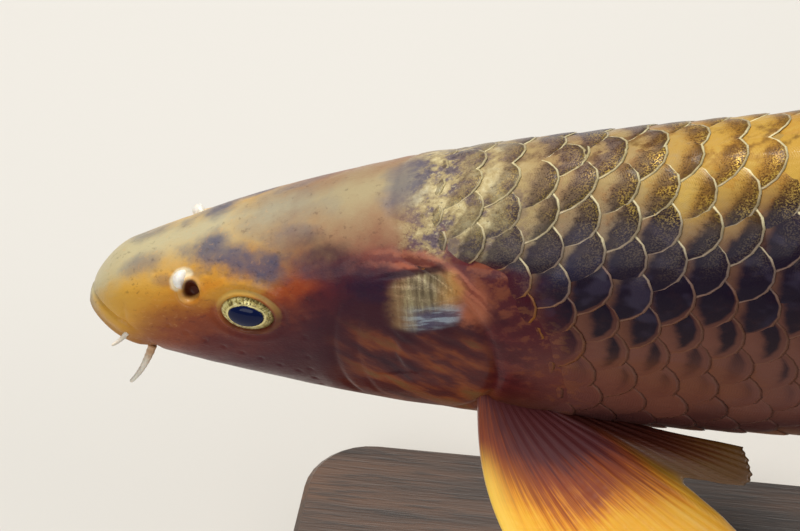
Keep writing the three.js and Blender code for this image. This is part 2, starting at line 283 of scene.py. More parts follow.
class Girth:
    """Distances round the body: turns a share of the girth into an angle, and back."""

    def __init__(self, form: BodyForm, stations: int = 320, turns: int = 721) -> None:
        """Measures the girth of closely spaced sections.

        Args:
            form: The body to measure.
            stations: How many sections are measured.
            turns: How many angles are used on each.
        """
        self.along = np.linspace(0.0, form.length, stations)
        self.turn = np.linspace(-math.pi, math.pi, turns)
        ring = form.point(self.along[:, None], self.turn[None, :])
        steps = np.linalg.norm(np.diff(ring[..., 1:], axis=1), axis=-1)
        run = np.concatenate([np.zeros((stations, 1)), np.cumsum(steps, axis=1)], axis=1)
        self.arc = run - run[:, [turns // 2]]
        self.whole = run[:, -1]
        self.shares = np.linspace(-0.5, 0.5, turns)
        wanted = self.shares[None, :] * self.whole[:, None]
        self.turn_of_share = np.stack(
            [np.interp(w, a, self.turn) for w, a in zip(wanted, self.arc)]
        )

    def _look_up(self, table: Array, axis: Array, along: Array, across: Array) -> Array:
        """Reads a table between its rows and columns, straight in both directions."""
        row = np.clip(np.interp(along, self.along, np.arange(len(self.along))), 0, len(self.along) - 1)
        col = np.clip(np.interp(across, axis, np.arange(len(axis))), 0, len(axis) - 1)
        r0 = np.minimum(row.astype(int), len(self.along) - 2)
        c0 = np.minimum(col.astype(int), len(axis) - 2)
        fr, fc = row - r0, col - c0
        near = lerp(table[r0, c0], table[r0, c0 + 1], fc)
        far = lerp(table[r0 + 1, c0], table[r0 + 1, c0 + 1], fc)
        return lerp(near, far, fr)

    def turn_at(self, along: Array, share: Array) -> Array:
        """The angle at a share of the girth, from -0.5 to 0.5; the back is 0."""
        return self._look_up(self.turn_of_share, self.shares, along, share)

    def distance(self, along: Array, turn: Array) -> Array:
        """Distance round from the back's ridge, negative on the left."""
        return self._look_up(self.arc, self.turn, along, turn)

    def around(self, along: Array) -> Array:
        """The whole girth at each distance along."""
        return np.interp(along, self.along, self.whole)


@dataclass
class Pose:
    """The swimming bend, the nose-down tilt and the place in the frame."""

    form: BodyForm
    bend_from: float = 140.0
    sway: float = 26.0
    nose_down: float = math.radians(8.0)
    shift: Array = field(default_factory=lambda: np.zeros(3))

    def swim(self, points: Array) -> Array:
        """Bends the straight fish: the axis follows sway * t^2 * sin(pi t), sections stay square to it."""
        x, y, z = points[..., 0], points[..., 1], points[..., 2]
        run = self.form.length - self.bend_from
        t = np.maximum(0.0, (x - self.bend_from) / run)
        wave = math.pi * t
        heading = np.arctan(self.sway * t * (2 * np.sin(wave) + wave * np.cos(wave)) / run)
        side = self.sway * t * t * np.sin(wave) + y * np.cos(heading)
        return np.stack([x - y * np.sin(heading), side, z], axis=-1)

    def tilt(self, points: Array) -> Array:
        """Tips points nose-down about the fish's left-to-right axis."""
        c, s = math.cos(self.nose_down), math.sin(self.nose_down)
        x, y, z = points[..., 0], points[..., 1], points[..., 2]
        return np.stack([x * c - z * s, y, x * s + z * c], axis=-1)

    def place(self, points: Array) -> Array:
        """Carries points of the straight fish, in millimetres, to the frame, in metres."""
        return (self.tilt(self.swim(points)) + self.shift) * MM

    def settle(self, nodes: Sequence[str]) -> None:
        """Sets the shift so that the body's box is centred on the box of its solids.

        Args:
            nodes: The solids that together make the body.
        """
        along = np.linspace(0.0, self.form.length, 400)
        turn = np.linspace(-math.pi, math.pi, 181)
        skin = self.tilt(self.swim(self.form.point(along[:, None], turn[None, :]))).reshape(-1, 3)
        corners = np.array([[list(c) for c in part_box(n)] for n in nodes]) / MM
        solid = (corners[:, 0].min(axis=0) + corners[:, 1].max(axis=0)) / 2
        self.shift = solid - (skin.min(axis=0) + skin.max(axis=0)) / 2


# --------------------------------------------------------------------------- mesh making
def circle(count: int) -> Array:
    """Evenly spaced angles all the way round, from 0."""
    return 2 * math.pi * np.arange(count) / count


def tube_faces(rings: int, around: int) -> tuple[Array, Array]:
    """Faces of a tube closed by a pole at each end.

    Args:
        rings: How many rings of vertices there are.
        around: How many vertices a ring has. The two poles come after all the rings.

    Returns:
        The quads between rings, and the triangles round the poles, each with its pole first.
    """
    i, j = np.meshgrid(np.arange(rings - 1), np.arange(around), indexing="ij")
    k = (j + 1) % around
    quads = np.stack([i * around + j, i * around + k, (i + 1) * around + k, (i + 1) * around + j], -1)
    ring = np.arange(around)
    after = (ring + 1) % around
    last, pole = (rings - 1) * around, np.full_like(ring, rings * around)
    start = np.stack([pole, after, ring], -1)
    end = np.stack([pole + 1, last + ring, last + after], -1)
    return quads.reshape(-1, 4), np.concatenate([start, end])


def sheet_faces(index: Array) -> Array:
    """Quads between the neighbours of a grid of vertex numbers."""
    return np.stack([index[:-1, :-1], index[1:, :-1], index[1:, 1:], index[:-1, 1:]], -1).reshape(-1, 4)


def pillow(middle: Array, offset: Array, values: Array) -> tuple[Array, Array, Array]:
    """Two sheets that share their outer edge, as one closed surface.

    Args:
        middle: The grid of points that the sheets lie either side of.
        offset: From each of them to the front sheet.
        values: A vector of an attribute at each of them.

    Returns:
        The points, the quads, and the attribute at every point.
    """
    rows, columns = middle.shape[:2]
    front = np.arange(rows * columns).reshape(rows, columns)
    inner = front[1:-1, 1:-1]
    back = front.copy()
    back[1:-1, 1:-1] = rows * columns + np.arange(inner.size).reshape(inner.shape)
    own = inner.ravel()
    points = np.concatenate([(middle + offset).reshape(-1, 3), (middle - offset).reshape(-1, 3)[own]])
    quads = np.concatenate([sheet_faces(front), sheet_faces(back)[:, ::-1]])
    values = values.reshape(-1, 3)
    return points, quads, np.concatenate([values, values[own]])


@dataclass
class Piece:
    """One visible piece: a mesh in the frame with its attributes and its finish."""

    name: str
    points: Array
    quads: Array
    caps: Array | None = None
    values: dict[str, Array] = field(default_factory=dict)
    patches: Array | None = None

    def make(self, finish: Finish, slot: str, nodes: Sequence[str] = ()) -> bpy.types.Object:
        """Builds the object, gives it its finish and ties it to the frame.

        Args:
            finish: The material to put on it.
            slot: The record's material slot; not used.
            nodes: The solids it stands for.

        Returns:
            The finished object.
        """
        mesh = bpy.data.meshes.new(self.name)
        faces = self.quads.tolist() + ([] if self.caps is None else self.caps.tolist())
        mesh.from_pydata(self.points.reshape(-1, 3).tolist(), [], faces)
        mesh.update()
        mesh.shade_smooth()
        for name, value in self.values.items():
            kind = "FLOAT_VECTOR" if value.ndim == 2 else "FLOAT"
            layer = mesh.attributes.new(name, kind, "POINT")
            layer.data.foreach_set("vector" if value.ndim == 2 else "value", value.ravel().astype(float))
        if self.patches is not None:
            mesh.uv_layers.new(name="OFBake").data.foreach_set("uv", self.patches.ravel())
        mesh.materials.append(finish.material())
        piece = bpy.data.objects.new(self.name, mesh)
        bpy.context.scene.collection.objects.link(piece)
        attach(piece, "root")
        if nodes:
            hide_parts(*nodes)
        LOG.info("%s: %d faces", self.name, len(faces))
        return piece


# --------------------------------------------------------------------------- shader maths
Number = Union["Signal", float, int]


@dataclass(frozen=True)
class Signal:
    """A shader socket; Python's operators on it add Math nodes."""

    sheet: Sheet
    socket: bpy.types.NodeSocket

    def _math(self, operation: str, *values: Number) -> Signal:
        """One Math node over the values, in order."""
        return self.sheet.node("ShaderNodeMath", {"operation": operation}, dict(enumerate(values)))

    def __add__(self, other: Number) -> Signal:
        """self + other."""
        return self._math("ADD", self, other)

    __radd__ = __add__

    def __mul__(self, other: Number) -> Signal:
        """self * other."""
        return self._math("MULTIPLY", self, other)

    __rmul__ = __mul__

    def __sub__(self, other: Number) -> Signal:
        """self - other."""
        return self._math("SUBTRACT", self, other)

    def __rsub__(self, other: Number) -> Signal:
        """other - self."""
        return self._math("SUBTRACT", other, self)

    def __truediv__(self, other: Number) -> Signal:
        """self / other."""
        return self._math("DIVIDE", self, other)

    def __rtruediv__(self, other: Number) -> Signal:
        """other / self."""
        return self._math("DIVIDE", other, self)

    def __pow__(self, other: Number) -> Signal:
        """self to the power other."""
        return self._math("POWER", self, other)

    def __abs__(self) -> Signal:
        """The size of self."""
        return self._math("ABSOLUTE", self)

    def sin(self) -> Signal:
        """The sine of self, in radians."""
        return self._math("SINE", self)

    def angle(self, other: Number) -> Signal:
        """The angle whose tangent is self / other, all the way round."""
        return self._math("ARCTAN2", self, other)

    def least(self, other: Number) -> Signal:
        """The smaller of the two."""
        return self._math("MINIMUM", self, other)

    def most(self, other: Number) -> Signal:
        """The larger of the two."""
        return self._math("MAXIMUM", self, other)

    def swing(self, amount: Number) -> Signal:
        """How far self lies from 0.5, the middle of a noise, times an amount."""
        return (self - 0.5) * amount

    def cover(self, share: Number, colour: Signal | str) -> Signal:
        """This colour, covered by another one where the share is 1."""
        return self.sheet.mix(share, self, colour)

    def step(self, low: Number, high: Number) -> Signal:
        """A smooth step from 0 at low to 1 at high."""
        settings = {"interpolation_type": "SMOOTHSTEP"}
        return self.sheet.node("ShaderNodeMapRange", settings, {0: self, 1: low, 2: high})

    def fall(self, low: Number, high: Number) -> Signal:
        """A smooth step from 1 at low to 0 at high."""
        return 1.0 - self.step(low, high)

    def oval(
        self, other: Signal, centre: tuple[float, float], radii: tuple[float, float], power: float = 2.0
    ) -> Signal:
        """Distance from an oval's centre, 1 at its edge; a higher power makes a rounded box of it."""
        x = abs((self - centre[0]) / radii[0])
        y = abs((other - centre[1]) / radii[1])
        return (x**power + y**power) ** (1.0 / power)


class Sheet:
    """The node sheet of one material."""

    def __init__(self, name: str) -> None:
        """Starts an empty material with a Principled shader.

        Args:
            name: The material's name.
        """
        self.material = bpy.data.materials.new(name)
        self.material.use_nodes = True
        self.tree = self.material.node_tree
        self.shader = self.tree.nodes["Principled BSDF"]

    def node(
        self,
        kind: str,
        settings: dict[str, object] | None = None,
        inputs: dict[int | str, object] | None = None,
        output: int | str = 0,
    ) -> Signal:
        """Adds any node.

        Args:
            kind: The node's type.
            settings: Its own settings, and "stops" for a ramp's places and colours.
            inputs: Values or links for its sockets, by number or name.
            output: The output socket that is wanted.

        Returns:
            The output socket as a signal.
        """
        made = self.tree.nodes.new(kind)
        for key, value in (settings or {}).items():
            if key == "stops":
                elements = made.color_ramp.elements
                while len(elements) < len(value):
                    elements.new(0.5)
                for element, (place, colour) in zip(elements, value):
                    element.position = place
                    element.color = colour
            else:
                setattr(made, key, value)
        for key, value in (inputs or {}).items():
            if isinstance(value, Signal):
                self.tree.links.new(value.socket, made.inputs[key])
            else:
                made.inputs[key].default_value = value
        return Signal(self, made.outputs[output])

    def attribute(self, name: str) -> Signal:
        """A vector attribute of the mesh."""
        return self.node("ShaderNodeAttribute", {"attribute_name": name}, None, "Vector")

    def number(self, name: str) -> Signal:
        """A plain number attribute of the mesh."""
        return self.node("ShaderNodeAttribute", {"attribute_name": name}, None, "Fac")

    def parts(self, vector: Signal) -> tuple[Signal, Signal, Signal]:
        """The three numbers of a vector."""
        made = self.node("ShaderNodeSeparateXYZ", None, {0: vector})
        outputs = made.socket.node.outputs
        return Signal(self, outputs[0]), Signal(self, outputs[1]), Signal(self, outputs[2])

    def vector(self, x: Number, y: Number, z: Number) -> Signal:
        """A vector of three numbers."""
        return self.node("ShaderNodeCombineXYZ", None, {0: x, 1: y, 2: z})

    def where(self) -> Signal:
        """Object coordinates, in metres."""
        return self.node("ShaderNodeTexCoord", None, None, "Object")

    def stretched(self, vector: Signal, x: float, y: float, z: float) -> Signal:
        """A vector scaled by a number along each axis."""
        return self.node("ShaderNodeMapping", None, {"Vector": vector, "Scale": (x, y, z)})

    def noise(self, vector: Signal, scale: float, detail: float = 2.0, rough: float = 0.5) -> Signal:
        """Fractal noise from 0 to 1."""
        inputs = {"Vector": vector, "Scale": scale, "Detail": detail, "Roughness": rough}
        return self.node("ShaderNodeTexNoise", None, inputs)

    def mix(self, share: Number, first: Signal | str, second: Signal | str) -> Signal:
        """A colour between two, signals or codes as in paint(): the first at share 0, the second at 1."""
        ends = [paint(end) if isinstance(end, str) else end for end in (first, second)]
        return self.node("ShaderNodeMix", {"data_type": "RGBA"}, {0: share, 6: ends[0], 7: ends[1]}, 2)

    def ramp(self, share: Number, *stops: tuple[float, str]) -> Signal:
        """Colours along a number from 0 to 1, written as in paint()."""
        table = [(place, paint(code)) for place, code in stops]
        return self.node("ShaderNodeValToRGB", {"stops": table}, {0: share})

    def bump(self, height: Signal, distance: float, strength: float) -> Signal:
        """A normal tilted by a height, which is multiplied by a distance in metres."""
        inputs = {"Strength": strength, "Distance": distance, "Height": height}
        return self.node("ShaderNodeBump", None, inputs)

    def finish(self, **sockets: object) -> bpy.types.Material:
        """Sets the shader's sockets by name, with _ for a space, and returns the material."""
        for name, value in sockets.items():
            socket = self.shader.inputs[name.replace("_", " ")]
            if isinstance(value, Signal):
                self.tree.links.new(value.socket, socket)
            else:
                socket.default_value = value
        return self.material


def paint(code: str) -> Colour:
    """A colour written as six hexadecimal digits, as linear light."""
    shares = [int(code[i : i + 2], 16) / 255 for i in (0, 2, 4)]
    linear = [s / 12.92 if s <= 0.04045 else ((s + 0.055) / 1.055) ** 2.4 for s in shares]
    return (linear[0], linear[1], linear[2], 1.0)


@dataclass(frozen=True)
class Spot:
    """A dark blotch on the skin, in the units of the attribute "place".

    Its centre is a distance along and one round from the back; lean slides it round as it
    runs back.
    """

    along: float
    round: float
    long: float
    wide: float
    lean: float = 0.0
    depth: float = 1.0


def mottled_cream(sheet: Sheet, place: Signal) -> Signal:
    """The nape's colour: cream clouded with grey and purple, and a few fine dark dots."""
    cloud = sheet.noise(place, 13.0, 6.0, 0.68)
    dots = sheet.noise(place, 70.0, 3.0, 0.6)
    # The palest cream is partly the nape's own colour and partly painted sheen.
    cream = sheet.ramp(
        cloud, (0.33, "403848"), (0.43, "6e6268"), (0.50, "a8966e"), (0.58, "ccbc8c"), (0.68, "e4dab0")
    )
    cream = cream.cover(dots.step(0.60, 0.68) * 0.55, "2a2026")
    return cream.cover(dots.fall(0.32, 0.42) * 0.35, "efe2b4")


def raw_flesh(sheet: Sheet, height: Signal, mottle: Signal, amount: float) -> Signal:
    """The flesh that the first scales grow from: crimson above, brownish pink below, with tan clouds."""
    flesh = sheet.mix(height.fall(-0.06, 0.12), "4c101c", "683c38")
    return flesh.cover(mottle.step(0.50, 0.62) * amount, "8a5230")


# --------------------------------------------------------------------------- finishes
class Finish:
    """A material made once and shared by every piece that wears it."""

    _made: dict[str, bpy.types.Material] = {}

    def material(self) -> bpy.types.Material:
        """The material, painted the first time it is asked for."""
        name = type(self).__name__ + getattr(self, "suffix", "")
        if name not in self._made:
            self._made[name] = self.paint_on(Sheet(name))
        return self._made[name]

    def paint_on(self, sheet: Sheet) -> bpy.types.Material:
        """Builds the nodes on a fresh sheet."""
        raise NotImplementedError


@dataclass(frozen=True)
class Markings:
    """The head's dark blotches, by distance along and distance round from the back."""

    spots: tuple[Spot, ...] = (
        Spot(0.510, 0.150, 0.170, 0.056, 0.46),
        Spot(0.420, 0.095, 0.075, 0.072, 0.0, 0.95),
        Spot(0.775, 0.225, 0.140, 0.062, 0.3, 0.85),
        Spot(0.890, 0.295, 0.105, 0.078, 0.1),
        Spot(0.200, 0.070, 0.065, 0.040, 0.0, 0.6),
        Spot(0.280, 0.145, 0.040, 0.020, 0.3, 0.4),
        Spot(0.670, 0.120, 0.100, 0.062, 0.3, 0.6),
        Spot(0.620, 0.030, 0.170, 0.090, 0.0, 0.35),
        Spot(0.990, 0.045, 0.070, 0.070, 0.0, 0.7),
    )

    def dark(self, along: Signal, spread: Signal, warp: Signal) -> Signal:
        """How dark the blotches make a place, from 0 to 1."""
        total: Number = 0.0
        for spot in self.spots:
            level = spread - (along - spot.along) * spot.lean
            reach = along.oval(level, (spot.along, spot.round), (spot.long, spot.wide))
            mask = (reach + warp.swing(2.0)).fall(0.35, 1.35) * spot.depth
            total = mask.most(total)
        return total


@dataclass(frozen=True)
class SkinFinish(Finish):
    """Wet bare skin: ochre snout, orange cheeks, purple-brown below, a silvery gill plate."""

    markings: Markings = Markings()

    def paint_on(self, sheet: Sheet) -> bpy.types.Material:
        """Lays the head's colours by place, then the blotches, the gill plate and fine speckle."""
        along, signed, height = sheet.parts(sheet.attribute("place"))
        spread = abs(signed)
        place = sheet.vector(along, signed, height)
        warp = sheet.noise(place, 9.0, 4.0, 0.6)
        broad = sheet.noise(place, 3.2, 3.0, 0.5)
        mid = sheet.noise(place, 20.0, 4.0, 0.6)
        fine = sheet.noise(place, 60.0, 3.0, 0.6)
        wander = broad.swing(0.16) + warp.swing(0.14) + mid.swing(0.06)

        band = spread + wander
        # Pale cream on top of the head to dark purple-brown low on its sides: partly the skin's own
        # colours, partly painted light on the top and painted shade low down.
        front = sheet.ramp(
            band,
            (0.0, "c4b894"), (0.09, "c8a870"), (0.17, "dca03c"), (0.24, "d08628"),
            (0.31, "944824"), (0.40, "602420"), (0.50, "481620"), (0.66, "441a1e"), (0.95, "643a26"),
        )
        rear = sheet.ramp(
            band,
            (0.0, "b0a07c"), (0.13, "a07e60"), (0.21, "8c5444"), (0.29, "642428"),
            (0.38, "3e1222"), (0.52, "3a0e1a"), (0.68, "501c18"), (0.95, "6c4028"),
        )
        base = front.cover((along + wander).step(0.45, 0.82), rear)
        snout = (along + wander * 0.7 + spread * 0.45).fall(0.14, 0.44)
        ochre = sheet.mix((band + along * 0.2).step(0.05, 0.20), "c4b890", "d6a648")
        base = base.cover(snout * 0.8, ochre)
        lips = (along + wander * 0.3).fall(0.05, 0.21) * (height + along * 0.3).fall(-0.03, 0.03)
        base = base.cover(lips * 0.7, "8c5626")
        jowl = along.oval(spread, (0.26, 0.30), (0.14, 0.10)) + warp.swing(1.4)
        base = base.cover(jowl.fall(0.4, 1.3) * 0.55, "7c3a24")
        ember = along.oval(spread, (0.68, 0.265), (0.10, 0.050)) + warp.swing(1.2)
        base = base.cover(ember.fall(0.3, 1.3) * 0.6, "b04a1c")
        amber = along.oval(spread, (0.51, 0.235), (0.13, 0.036)) + mid.swing(0.8)
        base = base.cover(amber.fall(0.4, 1.3) * 0.6, "dca43c")
        base = self.nape(sheet, base, along, spread, wander, place)
        base = self.shoulder(sheet, base, along, spread, height, wander, mid)
        base, plate, streak = self.plate(sheet, base, along, height, place, warp)

        dark = self.markings.dark(along, spread, warp)
        ink = sheet.mix(along.step(0.55, 0.8) * spread.step(0.08, 0.16), "4e5470", "260f2c")
        base = base.cover(dark * (0.95 - plate) * (0.84 + mid.swing(0.6)), ink)
        speckle = fine.step(0.56, 0.68) * mid.step(0.46, 0.6)
        base = base.cover(speckle * 0.3, "2c1620")
        glow = fine.fall(0.30, 0.42) * along.fall(0.5, 0.8) * band.fall(0.25, 0.40)
        base = base.cover(glow * 0.2, "e0a868")

        # the eye's fleshy lid, palest above the eye
        lid = along.oval(height, (0.532, 0.108), (0.081, 0.056)) + mid.swing(0.16)
        crest = height.step(0.09, 0.16) * 0.5 + 0.06
        base = base.cover(abs(lid - 1.10).fall(0.04, 0.16) * crest, "c8ac60")

        # bare pale skin round the nostril, and painted shade in its opening
        pale = along.oval(spread, (0.328, 0.154), (0.040, 0.036)) + mid.swing(0.4)
        base = base.cover(pale.fall(0.75, 1.05) * 0.9, "ecdcb8")
        ring = along.oval(spread, (0.355, 0.192), (0.034, 0.036))
        base = base.cover(ring.fall(0.92, 1.14) * 0.65, "dca860")
        base = base.cover(ring.fall(0.62, 0.88) * 0.97, "44100c")

        pores = sheet.noise(place, 130.0, 3.0, 0.6)
        relief = sheet.bump(pores * 0.35 + mid * 0.65 + streak * plate * 0.6, 0.0006, 0.5)
        rough = 0.36 + fine.swing(0.28) - plate * 0.08
        return sheet.finish(
            Base_Color=base, Roughness=rough, Metallic=plate * 0.3, Normal=relief,
            Specular_IOR_Level=0.13, Coat_Weight=0.12, Coat_Roughness=0.12,
        )

    @staticmethod
    def nape(
        sheet: Sheet, base: Signal, along: Signal, spread: Signal, wander: Signal, place: Signal
    ) -> Signal:
        """Mottles the nape cream and grey, where the first scales start."""
        mask = (along + wander).step(0.94, 1.08) * (spread + wander).fall(0.20, 0.30)
        return base.cover(mask * 0.93, mottled_cream(sheet, place))

    @staticmethod
    def shoulder(
        sheet: Sheet, base: Signal, along: Signal, spread: Signal, height: Signal,
        wander: Signal, mid: Signal,
    ) -> Signal:
        """Paints the pink membrane over the gill plate and the crimson flesh behind and below."""
        lean = sheet.vector(along * 3.0 - height * 2.0, height * 8.0 + along * 5.0, 0.0)
        streaks = sheet.noise(lean, 1.5, 3.0, 0.5)
        # The lower gill cover, dark purple-brown streaked with tan: partly its own colour, partly painted
        # shade.
        lower = along.step(0.72, 0.9) * along.fall(1.15, 1.3) * (height + wander).fall(0.04, 0.16)
        warm = sheet.ramp(streaks, (0.34, "300c1c"), (0.48, "58201c"), (0.58, "8c4620"), (0.70, "7c5a30"))
        warm = warm.cover((height + wander).fall(-0.26, -0.12) * 0.6, "6c4230")
        base = base.cover(lower * 0.75, warm)
        line = (along - 1.07).most(0.0)
        level = height - 0.297 + line * line * 3.6
        pink = abs(level + mid.swing(0.03)).fall(0.010, 0.036) * (along + wander).step(0.86, 1.0)
        behind = along.oval(height, (0.96, 0.01), (0.27, 0.28))
        fold = behind.step(1.0, 1.04) * height.step(0.10, 0.18) * (1.0 - pink) * spread.step(0.14, 0.22)
        brown = sheet.mix(mid.step(0.42, 0.58), "5a2428", "8c4c34")
        base = base.cover(fold * along.step(1.1, 1.16) * 0.8, brown)
        flesh = behind.step(0.98, 1.04) * along.step(1.08, 1.16) * (height + wander * 0.4).fall(0.08, 0.22)
        flesh = flesh * (height + wander * 0.5).step(-0.22, -0.06)
        crimson = sheet.mix((mid * 0.6 + streaks * 0.4).step(0.42, 0.60), "420816", "5e1c20")
        base = base.cover(flesh * 0.9, crimson)
        glow = along.oval(height, (1.195, 0.195), (0.060, 0.070)) + mid.swing(0.9) + wander * 2.0
        base = base.cover(glow.fall(0.45, 1.3) * 0.85, "b4694a")
        threads = (level * 210.0 + mid * 9.0).sin()
        hue = sheet.mix(threads.step(-0.9, 0.9), "7c3830", "b0664e")
        base = base.cover(pink * along.fall(1.18, 1.28) * 0.85, hue)
        base = base.cover(along.step(1.35, 1.45) * spread.fall(0.2, 0.3) * 0.9, "a8853e")
        rear = (along + wander * 0.8).step(1.22, 1.38) * spread.step(0.3, 0.4)
        pinkish = raw_flesh(sheet, height, mid, 0.5)
        return base.cover(rear * 0.75, pinkish)

    @staticmethod
    def plate(
        sheet: Sheet, base: Signal, along: Signal, height: Signal, place: Signal, warp: Signal
    ) -> tuple[Signal, Signal, Signal]:
        """Paints the gill plate: a rounded shield, gold at its ends, streaked grey, a silvery blue band
        below that is partly painted highlight, painted shade under it, and a painted shadow line along its
        top.

        Returns:
            The new colour, the shield's mask and its streaks.
        """
        level = height - (along - 1.06) * 0.18
        shield = along.oval(level, (1.06, 0.190), (0.132, 0.085), 2.6) + warp.swing(0.5)
        ends = (along + warp.swing(0.12)).step(0.925, 1.01) * (along + warp.swing(0.08)).fall(1.13, 1.21)
        mask = shield.fall(0.78, 1.12) * ends
        streak = sheet.noise(sheet.stretched(place, 62.0, 6.0, 6.0), 1.0, 3.0, 0.6)
        ripple = sheet.noise(sheet.stretched(place, 9.0, 50.0, 50.0), 1.0, 2.0, 0.6)
        hue = sheet.ramp(streak, (0.34, "6c5f46"), (0.47, "8a7a5c"), (0.57, "a0926e"), (0.70, "c4b88e"))
        hue = hue.cover((along + warp.swing(0.10)).fall(0.95, 1.04) * 0.8, "b08454")
        hue = hue.cover((along + warp.swing(0.06)).step(1.09, 1.16) * 0.9, "d49a50")
        # The lower band: partly the plate's silvery colour, partly painted highlight.
        silver_highlight = sheet.mix(ripple.step(0.44, 0.60), "54506a", "94a2b2")
        low = (level + warp.swing(0.04)).fall(0.155, 0.205)
        hue = hue.cover(low * along.step(0.97, 1.06) * 0.9, silver_highlight)
        # Painted shade on the cover under the silvery band.
        hue = hue.cover((level + warp.swing(0.04)).fall(0.10, 0.135) * 0.8, "2c1a2c")
        # Painted shadow: a dark line in the crease along the plate's top edge.
        crease_shadow = abs(level - 0.276 + warp.swing(0.02)).fall(0.004, 0.014)
        crease_shadow = crease_shadow * along.step(0.92, 0.97) * along.fall(1.1, 1.16)
        base = base.cover(mask * 0.9, hue)
        return base.cover(crease_shadow * 0.8, "2c1420"), mask, streak


@dataclass(frozen=True)
class ScaleFinish(Finish):
    """Wet scales: pale fronts, dark centres flecked with gold, thin bright rims."""

    def paint_on(self, sheet: Sheet) -> bpy.types.Material:
        """Paints each scale from its own "scale" attribute and its place on the fish.

        The attribute holds the place across in rows, the distance ahead of the tip in
        spacings, and the distance inside the free edge in millimetres.
        """
        along, signed, height = sheet.parts(sheet.attribute("place"))
        across, ahead, inside = sheet.parts(sheet.attribute("scale"))
        tone = sheet.number("tone")
        spread = abs(signed)
        place = sheet.vector(along, signed, height)
        broad = sheet.noise(place, 3.0, 3.0, 0.5)
        mottle = sheet.noise(place, 24.0, 4.0, 0.6)
        grain = sheet.noise(place, 190.0, 2.0, 0.7)
        band = spread + broad.swing(0.14) + tone.swing(0.09)

        # Paler high up, darker down the flank: partly the scales' own colours, partly painted shade on the
        # lower flank and under the belly.
        front = sheet.ramp(
            band,
            (0.0, "c09a4a"), (0.11, "c8a858"), (0.20, "967648"), (0.31, "6e4c3a"),
            (0.50, "6a4030"), (0.64, "6c4236"), (0.80, "684034"), (0.95, "4a2a28"),
        )
        middle = sheet.ramp(
            band,
            (0.0, "8c5c22"), (0.12, "845828"), (0.22, "64442e"), (0.34, "482e2e"),
            (0.50, "4c2a26"), (0.64, "5c362c"), (0.80, "603830"), (0.95, "4a2a28"),
        )
        centre = sheet.ramp(
            band,
            (0.0, "33220e"), (0.12, "2c1e14"), (0.20, "241a1e"), (0.30, "180a22"),
            (0.50, "12041c"), (0.64, "1a0818"), (0.85, "301420"),
        )
        rim = sheet.ramp(
            band,
            (0.0, "fae8ac"), (0.16, "f0dcae"), (0.27, "c4b098"), (0.40, "8e7468"),
            (0.52, "7e5846"), (0.75, "7c5442"), (0.95, "603a30"),
        )

        # from the pale front through brown to the dark behind, whose limit slants
        lower = band - (along - 1.4).most(0.0).least(0.7) * 0.14
        limit = 0.58 + across * 0.30 + band.step(0.18, 0.34) * 0.30 - lower.step(0.42, 0.58) * 0.42
        limit = limit + (mottle - 0.5) * (0.6 - band.step(0.2, 0.4) * 0.34) + tone.swing(0.24)
        # Painted sunlight: the high scales further back are lit golden and their dark centres paled.
        sunny = (along + mottle.swing(0.4)).step(1.6, 2.1) * band.fall(0.12, 0.26)
        behind = ahead - limit + sunny * 0.16
        base = front.cover(behind.fall(-0.14, 0.34), middle)
        tan = (mottle * 0.5 + broad * 0.3 + tone * 0.2).step(0.49, 0.58) * band.fall(0.2, 0.36)
        base = base.cover(tan * 0.42, "ac7032")
        margin = 0.2 + lower.step(0.40, 0.56) * 1.4
        dark = behind.fall(-0.12, 0.12) * inside.step(margin, margin + 0.5 + band.step(0.4, 0.7))
        partial = band.step(0.10, 0.26) * 0.44 + 0.55 + mottle.swing(0.5)
        strength = partial.least(0.98) * lower.fall(0.56, 0.78)
        strength = strength * (1.0 - sunny * 0.45)
        base = base.cover(dark * strength, centre)
        sheen = sheet.noise(place, 11.0, 2.0, 0.5).step(0.50, 0.66) * band.step(0.2, 0.3) * dark
        base = base.cover(sheen * band.fall(0.45, 0.6) * 0.35, "4a4258")
        shade = sheet.mix(broad.step(0.48, 0.6), "3a2e34", "43466a")
        cool = sheet.mix(dark * strength, "98866c", shade)
        dull = (along + mottle.swing(0.6)).fall(1.50, 1.95) * band.fall(0.26, 0.42)
        base = base.cover(dull * 0.6, cool)
        brim = inside.fall(1.1, 2.6) * behind.fall(-0.3, 0.1) * band.fall(0.14, 0.34)
        brim = brim * grain.step(0.36, 0.52)
        base = base.cover(brim * 0.75, "1e150e")

        # gold flecks on the upper rows, thickest towards the free edge
        fleck = grain.step(0.50, 0.56)
        rich = ((mottle - 0.36) * 2.4 + tone.swing(0.7)).most(0.0).least(0.95)
        gilt = band.fall(0.16, 0.30) * behind.fall(-0.45, 0.10) * rich
        gilt = gilt * (1.0 - dull * 0.5)
        base = base.cover(fleck * gilt, "e6c25a")
        # Painted sunlight on the high rows further back.
        base = base.cover(sunny * (1.0 - dark * 0.6) * 0.5, "c49430")
        pit = grain.fall(0.38, 0.46) * band.fall(0.16, 0.30) * behind.fall(-0.1, 0.35)
        base = base.cover(pit * 0.65, "1c130c")
        glint = fleck * band.step(0.16, 0.26) * band.fall(0.30, 0.42) * behind.fall(-0.45, -0.1) * 0.2
        base = base.cover(glint, "a08a6c")
        ridge = (mottle * 0.6 + broad * 0.4).step(0.47, 0.62) * spread.fall(0.04, 0.11)
        base = base.cover(ridge * 0.6, "4a2c1a")
        base = base.cover(band.step(1.0, 1.25), "8a5832")
        blush = (along + (broad - 0.5)).fall(1.5, 2.4) * band.step(0.52, 0.66) * band.fall(0.84, 0.96)
        base = base.cover(blush * (1.0 - dark * strength) * 0.5, "74483e")

        # the first scales behind the gill cover keep the colour of the flesh that they grow from
        start = 1.065 + height.fall(0.27, 0.335) * 0.20 + height.fall(0.04, 0.26) * 0.09
        start = start - height.fall(-0.33, -0.16) * 0.14
        first = (along - start + mottle.swing(0.14)).fall(0.03, 0.20) * height.fall(0.28, 0.34)
        lining = raw_flesh(sheet, height, mottle, 0.6)
        base = base.cover(first * 0.8, lining)

